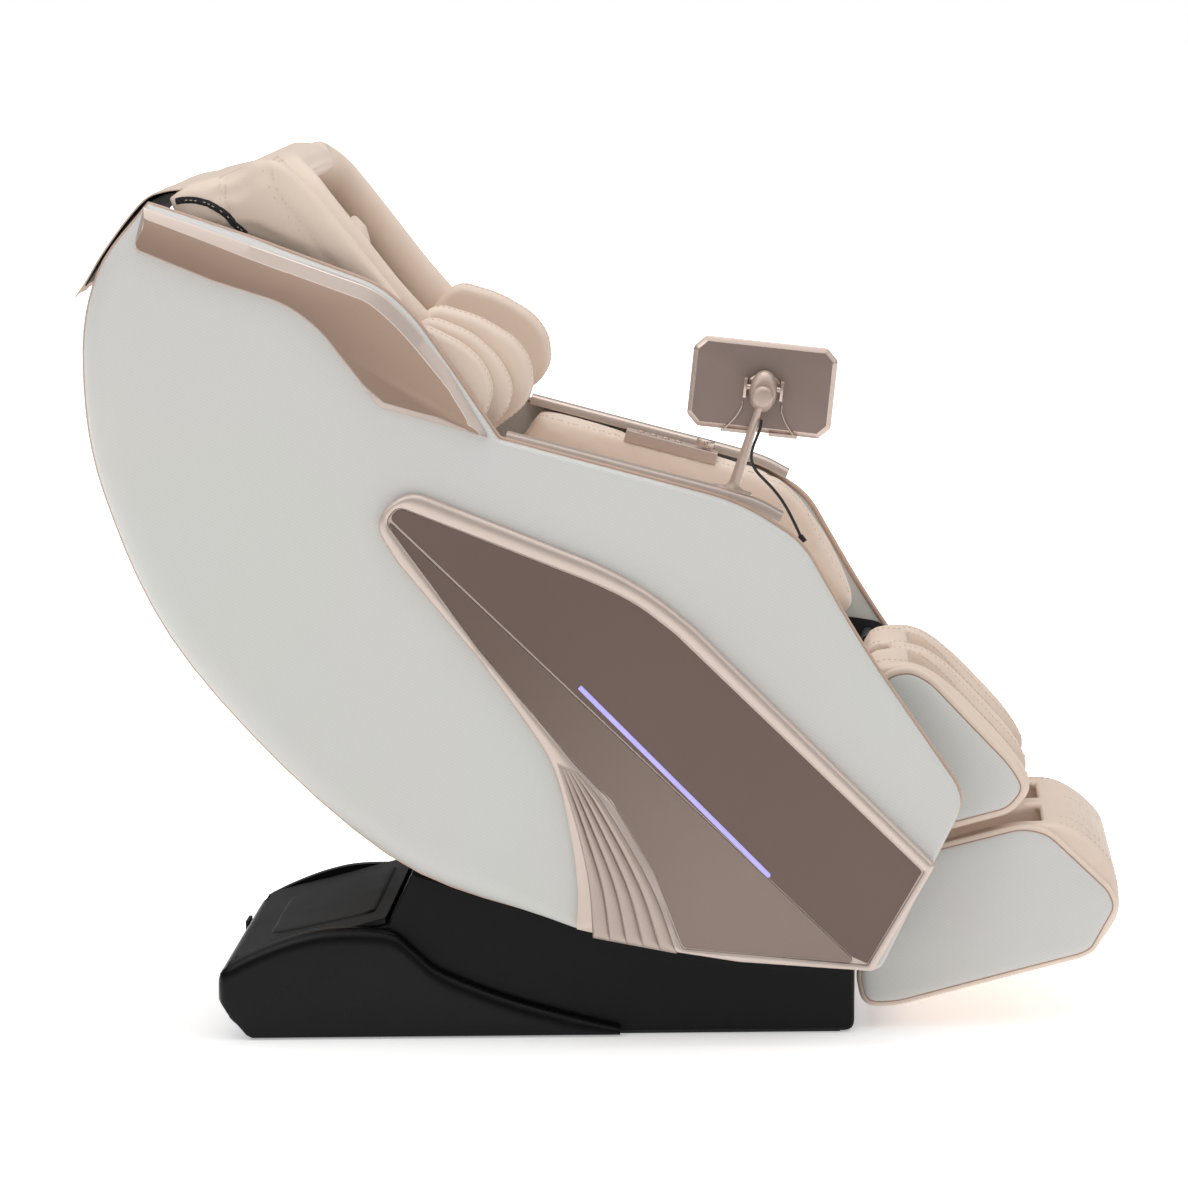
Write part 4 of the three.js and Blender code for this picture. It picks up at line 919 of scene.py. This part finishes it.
# ---- Foot rest ----
# A foam boot for both feet in beige leather, with white panels sewn into its sides.
# It slides out of the calf rest on two chromed rods.
dressed(foot, beige, "footrest", "leather_beige", "foot_body")
FOOT_RIM = [(575, 271), (612, 272), (650, 257), (690, 222), (704, 160)]
foot_seams = [seam(foot, [(x - 1, y, z - 1) for x, z in FOOT_RIM], 0.002, 0.004) for y in (-212, 212)]
foot_seams += [
    seam(foot, [(x, y, z) for y in range(-200, 201, 80)], 0.002, 0.004) for x, z in ((690, 222), (668, 246))
]
toe = [
    (628, -150, 269), (670, -150, 241), (684, -146, 228), (684, -74, 228), (670, -70, 241), (628, -70, 269)
]
foot_seams += [seam(foot, [(x, y * s, z) for x, y, z in toe], 0.0018, 0.003) for s in (-1, 1)]
topstitch("foot_stitches", foot, foot_seams, "footrest", aside=0.005)
FOOT_SIDE = [
    [402, 230], [575, 272, 26], [612, 264, 30], [695, 184, 18], [704, 158, 16], [670, 98, 18], [652, 90],
    [402, 27, 30], [360, 28, 22], [351, 72, 16],
]
panel_set("foot", FOOT_SIDE, 0.007, 0.2400, 0.2520, "footrest", "foot_side")
chrome, tree = finish_named("hard_chromed_slide_steel")
lit_by(
    tree, Base_Color=linear("#c3c5c8"), Metallic=1.0, Roughness=0.16, Normal=grain(tree, 900, 0.05, 0.0001)
)
for y in (-0.110, 0.110):
    rod = np.array([0.447, y, 0.185]) + np.outer(np.linspace(0, 0.207, 12), [-0.2517, 0, 0.9678])
    dressed(
        cord_along(f"foot_slide_rod_{'right' if y < 0 else 'left'}", rod, 0.006, 16), chrome, "footrest",
        "stand_metal"
    )
roller_skin, tree = finish_named("black_nitrile_foam_grip")
lit_by(tree, Base_Color=linear("#232326"), Roughness=0.75, Normal=grain(tree, 700, 0.3, 0.0004))
refinished("foot_roller", roller_skin)

# ---- Base ----
# A black ABS tray turned upside down over a steel frame, with a glossy bumper round its back and sides.
# The deck at the back is a separate lid with a raised step; the moulding is grained, the bumper polished.
def black_plastic(name, colour, rough, strength):
    """Moulded black ABS: a spark-eroded grain 0.3 mm across, drawn at 1 mm, and a drift in gloss."""
    made, tree = finish_named(name)
    place = local(tree)
    grit = node(tree, "TexNoise", Vector=place, Scale=950.0, Detail=2.0)
    drift = node(tree, "TexNoise", Vector=place, Scale=6.0, Detail=2.0)
    gloss = node(tree, "MapRange", Value=drift.outputs[0], To_Min=rough * 0.85, To_Max=rough * 1.15)
    tint = mixed(tree, drift.outputs[0], colour, "#0c0c0e")
    bump = node(tree, "Bump", Height=grit.outputs[0], Strength=strength, Distance=0.0003)
    lit_by(tree, Base_Color=tint, Roughness=gloss.outputs[0], IOR=1.3, Normal=bump.outputs[0])
    return made


def softened(name, cad_node, width, segments=3):
    """The CAD solid welded, its flat parts joined, and its sharp edges rounded to the given width."""
    weld = bmesh.new()
    weld.from_mesh(cad[cad_node].data)
    bmesh.ops.remove_doubles(weld, verts=weld.verts, dist=1e-5)
    bmesh.ops.dissolve_limit(weld, angle_limit=math.radians(1), verts=weld.verts, edges=weld.edges)
    mesh = bpy.data.meshes.new(name)
    weld.to_mesh(mesh)
    weld.free()
    made = placed(name, mesh)
    mesh.shade_smooth()
    round_off = made.modifiers.new("round_off", "BEVEL")
    round_off.width = width
    round_off.segments = segments
    round_off.angle_limit = math.radians(32)
    round_off.harden_normals = True
    made.modifiers.new("even_shading", "WEIGHTED_NORMAL").keep_sharp = True
    return made


gloss_black = black_plastic("polished_black_abs", "#040405", 0.28, 0.03)
satin_black = black_plastic("grained_black_abs", "#060607", 0.45, 0.25)
for cad_node, width in (("base_shell", 0.0012), ("rear_deck", 0.0015), ("power_inlet", 0.001)):
    dressed(softened(f"{cad_node}_moulding", cad_node, width), satin_black, "base", "base_black", cad_node)

# The bumper's wall runs round three sides; its section is a soft shoulder, a plain face and a turned-in foot.
TOP_EDGE = through(
    mm(
        [
            [-497, 96], [-452, 119], [-395, 140], [-341, 149], [-268, 145], [-236, 122], [-205, 95],
            [-150, 70], [-94, 50], [-20, 29], [38, 14]
        ]
    ),
    6
)
half, corner, back_x = 0.3054, 0.014, -0.497
run_x = np.linspace(0.038, back_x + corner, 70)
bend = np.linspace(0, math.pi / 2, 7)
plan = [np.stack([run_x, np.full(70, -half), 0 * run_x, -np.ones(70)], 1)]
plan.append(
    np.stack(
        [
            back_x + corner - corner * np.sin(bend), -half + corner - corner * np.cos(bend), -np.sin(bend),
            -np.cos(bend)
        ],
        1
    )
)
across_y = np.linspace(-half + corner, half - corner, 40)
plan.append(np.stack([np.full(40, back_x), across_y, -np.ones(40), 0 * across_y], 1))
plan = np.vstack([*plan, (np.vstack(plan[:2]) * [1, -1, 1, -1])[::-1]])
top = np.interp(plan[:, 0], TOP_EDGE[:, 0], TOP_EDGE[:, 1])
foot_z = np.clip(0.050 - (plan[:, 0] - back_x) * 1.2, 0.002, 0.05)
room = np.clip((top - foot_z) / 0.030, 0.05, 1)
rearward = np.clip(-plan[:, 2], 0, 1)
section = [
    (0.0195, top - 0.002 * room), (0.0150, top), (0.0100, top - 0.0008 * room),
    (0.0055, top - 0.0032 * room), (0.0022, top - 0.0080 * room), (0.0004, top - 0.0150 * room),
    (0.0, top - 0.0240 * room)
]
section += [
    (0.0, foot_z + 0.005 * room), (0.0015, foot_z + 0.001 * room),
    (0.004 + 0.036 * rearward, foot_z - (foot_z - 0.002) * rearward),
    (0.0195 + 0.030 * rearward, foot_z - (foot_z - 0.002) * rearward)
]
wall = np.stack(
    [np.stack([plan[:, 0] - plan[:, 2] * d, plan[:, 1] - plan[:, 3] * d, z], 1) for d, z in section]
)
dressed(surface("bumper_wall", wall, caps=True, sharp=35), gloss_black, "base", "base_black", "base_bumper")
deck_low, deck_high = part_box("rear_deck")
slope = (0.160 - 0.109) / (deck_high[0] - deck_low[0])
pad_plan = rounded([[-440, -165, 40], [-292, -205, 20], [-292, 205, 20], [-440, 165, 40]], 0.008)
lip = []
for reach, lift in ((0, 0.0), (0.0015, 0.0022), (0.0045, 0.0034), (0.009, 0.0036)):
    flat = inward(pad_plan, reach)
    lip.append(
        np.stack([flat[:, 0], flat[:, 1], 0.109 + (flat[:, 0] - deck_low[0]) * slope + lift - 0.0004], 1)
    )
dressed(surface("deck_step", np.stack(lip, 1), caps=True, sharp=60), satin_black, "base", "base_black")

# ---- Tablet and its stand ----
# The tablet's back is a textured bronze shell in a bright chamfered frame with cut corners.
# A spring-wire bracket clips it to an oval cup that swings on the ball of a tapered aluminium stem.
anodised = flake_paint("champagne_anodised_aluminium", "#d9c6bb", "#bfaa9e", 0.75, 0.26, 0.35)
stand_paint = flake_paint("champagne_satin_stand_paint", "#c9b4a8", "#b5a094", 0.5, 0.42, 0.2)
tablet_back = flake_paint("brown_textured_tablet_shell", "#8e7c74", "#7d6b63", 0.35, 0.5)
screen, tree = finish_named("black_screen_glass")
smears = node(tree, "TexNoise", Vector=local(tree), Scale=14.0, Detail=3.0)
haze = node(tree, "MapRange", Value=smears.outputs[0], To_Min=0.04, To_Max=0.14)
lit_by(tree, Base_Color=linear("#0c0d10"), Roughness=haze.outputs[0], IOR=1.52, Coat_Weight=0.5)
BALL = np.array([0.240, -0.3367, 0.852])
TIP = math.radians(7)


def hub_frame(points):
    """Points given from the ball's centre, in the frame turned 7 degrees about Y, put in the chair's."""
    x, y, z = np.moveaxis(np.asarray(points, float), -1, 0)
    return BALL + np.stack(
        [x * math.cos(TIP) + z * math.sin(TIP), y, -x * math.sin(TIP) + z * math.cos(TIP)], -1
    )


def turned_on_hub(name, rings, sharp=40):
    """A body from rings of (outline in mm about the hub, y in mm) placed by the hub frame."""
    points = np.stack([at_y(r, y / 1000) for r, y in rings], 1)
    return surface(name, hub_frame(points), caps=True, sharp=sharp)


w, h, c = 95, 59.5, 15
octagon = rounded(
    [
        [-w, -h + c, 3], [-w + c, -h, 3], [w - c, -h, 3], [w, -h + c, 3], [w, h - c, 3], [w - c, h, 3],
        [-w + c, h, 3], [-w, h - c, 3]
    ],
    0.003
) + np.array([-0.002, 0.010])
rings = [
    (inward(octagon, 0.0075), 33.4), (inward(octagon, 0.0065), 32.5), (inward(octagon, 0.0015), 34.6),
    (octagon, 36.0),
    (octagon, 43.2), (inward(octagon, 0.0012), 44.8), (inward(octagon, 0.0050), 45.1),
]
dressed(turned_on_hub("tablet_frame", rings, 25), anodised, "tablet", "tablet_brown", "tablet_case")
dressed(
    turned_on_hub(
        "tablet_shell",
        [(inward(octagon, 0.0064), 33.6), (inward(octagon, 0.0068), 32.4), (inward(octagon, 0.0080), 32.1)],
        30
    ),
    tablet_back, "tablet", "tablet_brown"
)
dressed(
    turned_on_hub(
        "tablet_glass",
        [(inward(octagon, 0.0052), 44.6), (inward(octagon, 0.0054), 45.3), (inward(octagon, 0.0060), 45.5)],
        30
    ),
    screen, "tablet", "tablet_brown"
)
turn = np.linspace(0, 2 * math.pi, 48, endpoint=False)
oval = np.stack([np.cos(turn), np.sin(turn)], 1)
rings = [(oval * [0.0184, 0.0276] + [0, 0.006], 22.0)]
for b in np.linspace(0, math.pi / 2, 9):
    size = [0.0126 + 0.0060 * math.cos(b), 0.0140 + 0.0138 * math.cos(b)]
    rings.append((oval * size + [0, 0.002 + 0.004 * math.cos(b)], 17.0 - 17.0 * math.sin(b)))
dressed(turned_on_hub("hub_cup", rings, 50), stand_paint, "tablet_hub", "stand_metal", "tablet_hub")
pin = hub_frame(np.stack([np.linspace(-0.0262, 0.0262, 8), np.full(8, 0.015), np.full(8, 0.010)], 1))
dressed(cord_along("hub_trunnion", pin, 0.0038, 16), anodised, "tablet_hub", "stand_metal")
latitude = np.linspace(-math.pi / 2, math.pi / 2, 25)
globe = np.stack(
    [
        np.outer(np.cos(turn), np.cos(latitude)), np.broadcast_to(np.sin(latitude), (48, 25)),
        np.outer(np.sin(turn), np.cos(latitude))
    ],
    2
)
dressed(surface("stem_ball", BALL + globe * 0.0121), stand_paint, "body", "stand_metal", "tablet_stem")
CAP_STEPS = [
    (0.0145, 2.0), (0.0146, -8.0), (0.0141, -10.6), (0.0129, -12.7), (0.0108, -14.0), (0.0082, -14.7),
    (0.0050, -15.0)
]
front_cap = [(oval * r, y) for r, y in CAP_STEPS]
dressed(turned_on_hub("ball_cap", front_cap, 60), stand_paint, "tablet_hub", "stand_metal")
foot_spot = np.array([0.1990, -0.3167, 0.7295])
span = np.linspace(0, 1, 24)[:, None]
stem_line = foot_spot + (BALL - foot_spot) * span
girth = 0.0040 + 0.0034 * (1 - span[:, 0]) + 0.006 * np.clip(1 - span[:, 0] * 12, 0, 1) ** 2
way = (BALL - foot_spot) / np.linalg.norm(BALL - foot_spot)
side_a = np.cross(way, [0, 1, 0]) / np.linalg.norm(np.cross(way, [0, 1, 0]))
side_b = np.cross(way, side_a)
turn_s = turn[::2]
oct_ring = 1 + 0.05 * np.cos(4 * turn_s)
way_a = (np.cos(turn_s) * oct_ring)[:, None, None] * side_a * girth[None, :, None]
way_b = (np.sin(turn_s) * oct_ring)[:, None, None] * side_b * girth[None, :, None]
stem = stem_line[None] + way_a + way_b
dressed(surface("stem_column", stem, caps=True), stand_paint, "body", "stand_metal")
fall = math.atan2(-0.0838, 0.307)
plate = []
for size, lift in ((1.0, -0.0020), (1.0, 0.0008), (0.96, 0.0018), (0.6, 0.0024), (0.35, 0.0034)):
    flat = oval * [0.026 * size, 0.0138 * size]
    x = flat[:, 0] * math.cos(fall) - lift * math.sin(fall)
    z = flat[:, 0] * math.sin(fall) + lift * math.cos(fall)
    plate.append(np.array([0.199, -0.3167, 0.7293]) + np.stack([x, flat[:, 1], z], 1))
dressed(surface("stem_foot", np.stack(plate, 1), caps=True, sharp=50), stand_paint, "body", "stand_metal")

# Spring-wire bracket: two clips on the trunnion, wires down to the flanges that hold the tablet's lower edge.
rings = [(oval * [0.0230, 0.0180] * s + [0, 0.010], y) for s, y in ((1.0, 34.0), (1.0, 31.6), (0.96, 31.0))]
dressed(turned_on_hub("bracket_plate", rings, 40), anodised, "tablet", "stand_metal", "tablet_bracket")
CLIP = mm([[-2.2, -13], [2.2, -13], [2.2, 13], [-2.2, 13]])
FLANGE = mm([[-19, -2.2], [19, -2.2], [19, 2.2], [-19, 2.2]])
for hand, sign in (("left", -1), ("right", 1)):
    clip = [(CLIP * s + [sign * 0.0240, 0.009], y) for s, y in ((1.0, 32.5), (1.0, 9.0), (0.8, 8.0))]
    dressed(turned_on_hub(f"bracket_clip_{hand}", clip, 30), anodised, "tablet", "stand_metal")
    wire = through(
        mm(
            [
                [sign * 26, 30.8, -10], [sign * 27, 30.2, -20], [sign * 34, 30.0, -34],
                [sign * 44, 30.2, -47], [sign * 46, 30.4, -50]
            ]
        ),
        6
    )
    dressed(cord_along(f"bracket_wire_{hand}", hub_frame(wire), 0.0011, 8), anodised, "tablet", "stand_metal")
    flange = [
        (FLANGE * [s, 1] + [sign * 0.0315, -0.0505], y) for s, y in ((1.0, 46.0), (1.0, 30.6), (0.98, 29.8))
    ]
    dressed(turned_on_hub(f"bracket_flange_{hand}", flange, 30), anodised, "tablet", "stand_metal")

# ---- Arm controls ----
# A raised champagne console on the left arm with four ribbed keys and a knurled knob.
console = softened("console", "control_panel", 0.004, 4)
dressed(console, champagne, "body", "trim_champagne", "control_panel")
for i in range(4):
    key = softened(f"key_{i + 1}", f"button_{i + 1}", 0.0012)
    dressed(key, anodised, f"button_{i + 1}", "trim_champagne", f"button_{i + 1}")
KNOB = np.array([0.1466, 0.2739, 0.7328])
KNOB_UP = np.array([0.2698, 0.0, 0.9629])
KNOB_ALONG = np.array([0.9629, 0.0, -0.2698])
around = np.linspace(0, 2 * math.pi, 120, endpoint=False)
profile = [
    (0.0118, 0.0020), (0.0130, 0.0030), (0.0130, 0.0105), (0.0122, 0.0125), (0.0105, 0.0134),
    (0.0080, 0.0136), (0.0060, 0.0130)
]
rings = []
for r, lift in profile:
    ribbed = r * (1 + (0.022 * np.cos(24 * around) if 0.0025 < lift < 0.011 else 0))
    way_a = np.outer(np.cos(around) * ribbed, KNOB_ALONG)
    way_b = np.outer(np.sin(around) * ribbed, [0, 1, 0])
    rings.append(KNOB + way_a + way_b + KNOB_UP * lift)
dressed(
    surface("dial", np.stack(rings, 1), caps=True, sharp=50), anodised, "knob", "trim_champagne",
    "control_knob"
)
TICK = ((0.004, -0.0005), (0.0085, -0.0005), (0.0085, 0.0005), (0.004, 0.0005))
tick = [
    KNOB + KNOB_UP * lift + KNOB_ALONG * x + np.array([0, y, 0]) for lift in (0.0132, 0.0139) for x, y in TICK
]
dressed(
    surface("dial_mark", np.array(tick).reshape(2, 4, 3).transpose(1, 0, 2), caps=True), satin_black, "knob",
    "trim_champagne"
)

# ---- Back cover ----
# One curved leather panel between the shells, quilted in three fields with topstitched seams.
back = from_solids("back_leather", 0.008, 4, "back_cover")
dressed(back, beige, "body", "leather_beige", "back_cover")
REAR_ARC = [(-556, 1100), (-614, 1027), (-640, 905), (-616, 735), (-510, 512), (-366, 366)]
back_seams = [seam(back, [(x, y, z) for x, z in REAR_ARC], 0.004, 0.008) for y in (-190, 190)]
for x, z in ((-638, 880), (-560, 610)):
    back_seams.append(seam(back, [(x, y, z) for y in range(-320, 321, 128)], 0.004, 0.008))
topstitch("back_stitches", back, back_seams, "body", aside=0.006)

# ---- Rear flap ----
# A loose flap of leather backed with black cloth: it hangs over the top of the back and closes with a zip.
def ribbon(name, line, y0, y1, thick, ripple, columns=60):
    """A sheet along the (x, z) line in mm, from y0 to y1 in metres, rippled more towards its free end."""
    line = through(mm(line), 8)
    run = np.gradient(line, axis=0)
    run /= np.linalg.norm(run, axis=1)[:, None]
    out = np.stack([-run[:, 1], run[:, 0]], 1)
    y = np.linspace(y0, y1, columns)[:, None]
    grow = np.linspace(0, 1, len(line))[None] ** 1.5
    wave = ripple * grow * (0.6 * np.sin(y * 19 + 0.7) + 0.4 * np.sin(y * 43 + 2.0))
    face = np.stack(
        [
            line[None, :, 0] + out[None, :, 0] * wave, np.broadcast_to(y, (columns, len(line))),
            line[None, :, 1] + out[None, :, 1] * wave
        ],
        2
    )
    made = surface(name, face, closed_u=False)
    wall = made.modifiers.new("cloth_thickness", "SOLIDIFY")
    wall.thickness = thick
    wall.offset = 0
    return made


FLAP = [(-520, 1133), (-546, 1130), (-570, 1121), (-598, 1092), (-630, 1050), (-652, 1016), (-668, 994)]
flap = ribbon("rear_flap_leather", FLAP, -0.284, 0.284, 0.0022, 0.003)
dressed(flap, beige, "body", "leather_beige", "rear_flap")
flap_run = float(np.linalg.norm(np.diff(through(mm(FLAP), 8), axis=0), axis=1).sum())
black_cloth, tree = finish_named("black_woven_lining")
threads = node(tree, "TexWave", {"bands_direction": "DIAGONAL"}, Vector=local(tree), Scale=110.0)
tint = mixed(tree, threads.outputs[1], "#101013", "#24242a")
weave = node(tree, "Bump", Height=threads.outputs[1], Strength=0.4, Distance=0.0004)
lit_by(tree, Base_Color=tint, Roughness=0.85, Sheen_Weight=0.2, Normal=weave.outputs[0])
LINING = [
    (-470, 1108), (-500, 1120), (-530, 1127), (-552, 1122), (-573, 1110), (-600, 1082), (-634, 1036),
    (-654, 1008)
]
lining = ribbon("rear_flap_lining", LINING, -0.2815, 0.2815, 0.0018, 0.002)
dressed(lining, black_cloth, "body", "leather_beige")
lining_run = float(np.linalg.norm(np.diff(through(mm(LINING), 8), axis=0), axis=1).sum())
for sign in (-1, 1):
    track = through(mm([(-531, 1119), (-505, 1119), (-478, 1110), (-457, 1094), (-438, 1070)]), 8)
    tape = at_y(track, sign * 0.3015)
    tape = laid_on(hood, tape, 0.0012)
    strip_piece = cord_along(f"zip_tape_{'right' if sign < 0 else 'left'}", tape, 0.0045, 8, flat=0.35)
    dressed(strip_piece, black_cloth, "body", "leather_beige")
    topstitch(f"zip_teeth_{'right' if sign < 0 else 'left'}", strip_piece, [tape], "body", pitch=0.0062)

# ---- Mechanism ----
# Powder-coated steel frames, the massage drive on its rails, the two actuators, wheels and pump.
powder, tree = finish_named("black_powder_coated_steel")
lit_by(tree, Base_Color=linear("#26262a"), Metallic=0.2, Roughness=0.5, Normal=grain(tree, 500, 0.3, 0.0003))
machined, tree = finish_named("zinc_plated_steel")
brushed = node(tree, "TexNoise", Vector=local(tree), Scale=300.0, Detail=4.0)
tint = mixed(tree, brushed.outputs[0], "#8f9194", "#bcbec0")
lit_by(tree, Base_Color=tint, Metallic=1.0, Roughness=0.32, Normal=grain(tree, 600, 0.1, 0.0002))
nylon = black_plastic("black_glass_filled_nylon", "#1c1c1f", 0.5, 0.35)
rubber, tree = finish_named("black_polyurethane_tyre")
lit_by(tree, Base_Color=linear("#1d1d1e"), Roughness=0.65, Normal=grain(tree, 400, 0.3, 0.0005))
for names, finish in (
    (("base_frame", "seat_frame", "massage_track"), powder),
    (("tilt_actuator_rod", "leg_actuator_rod", "knead_arm_right", "knead_arm_left"), machined),
    (("tilt_actuator_tube", "leg_actuator_tube", "massage_unit", "air_pump"), nylon),
    (("transport_wheel_right", "transport_wheel_left"), rubber),
    (
        [f"massage_roller_{side}_{place}" for side in ("right", "left") for place in ("upper", "lower")],
        rubber
    ),
):
    for name in names:
        refinished(name, finish)
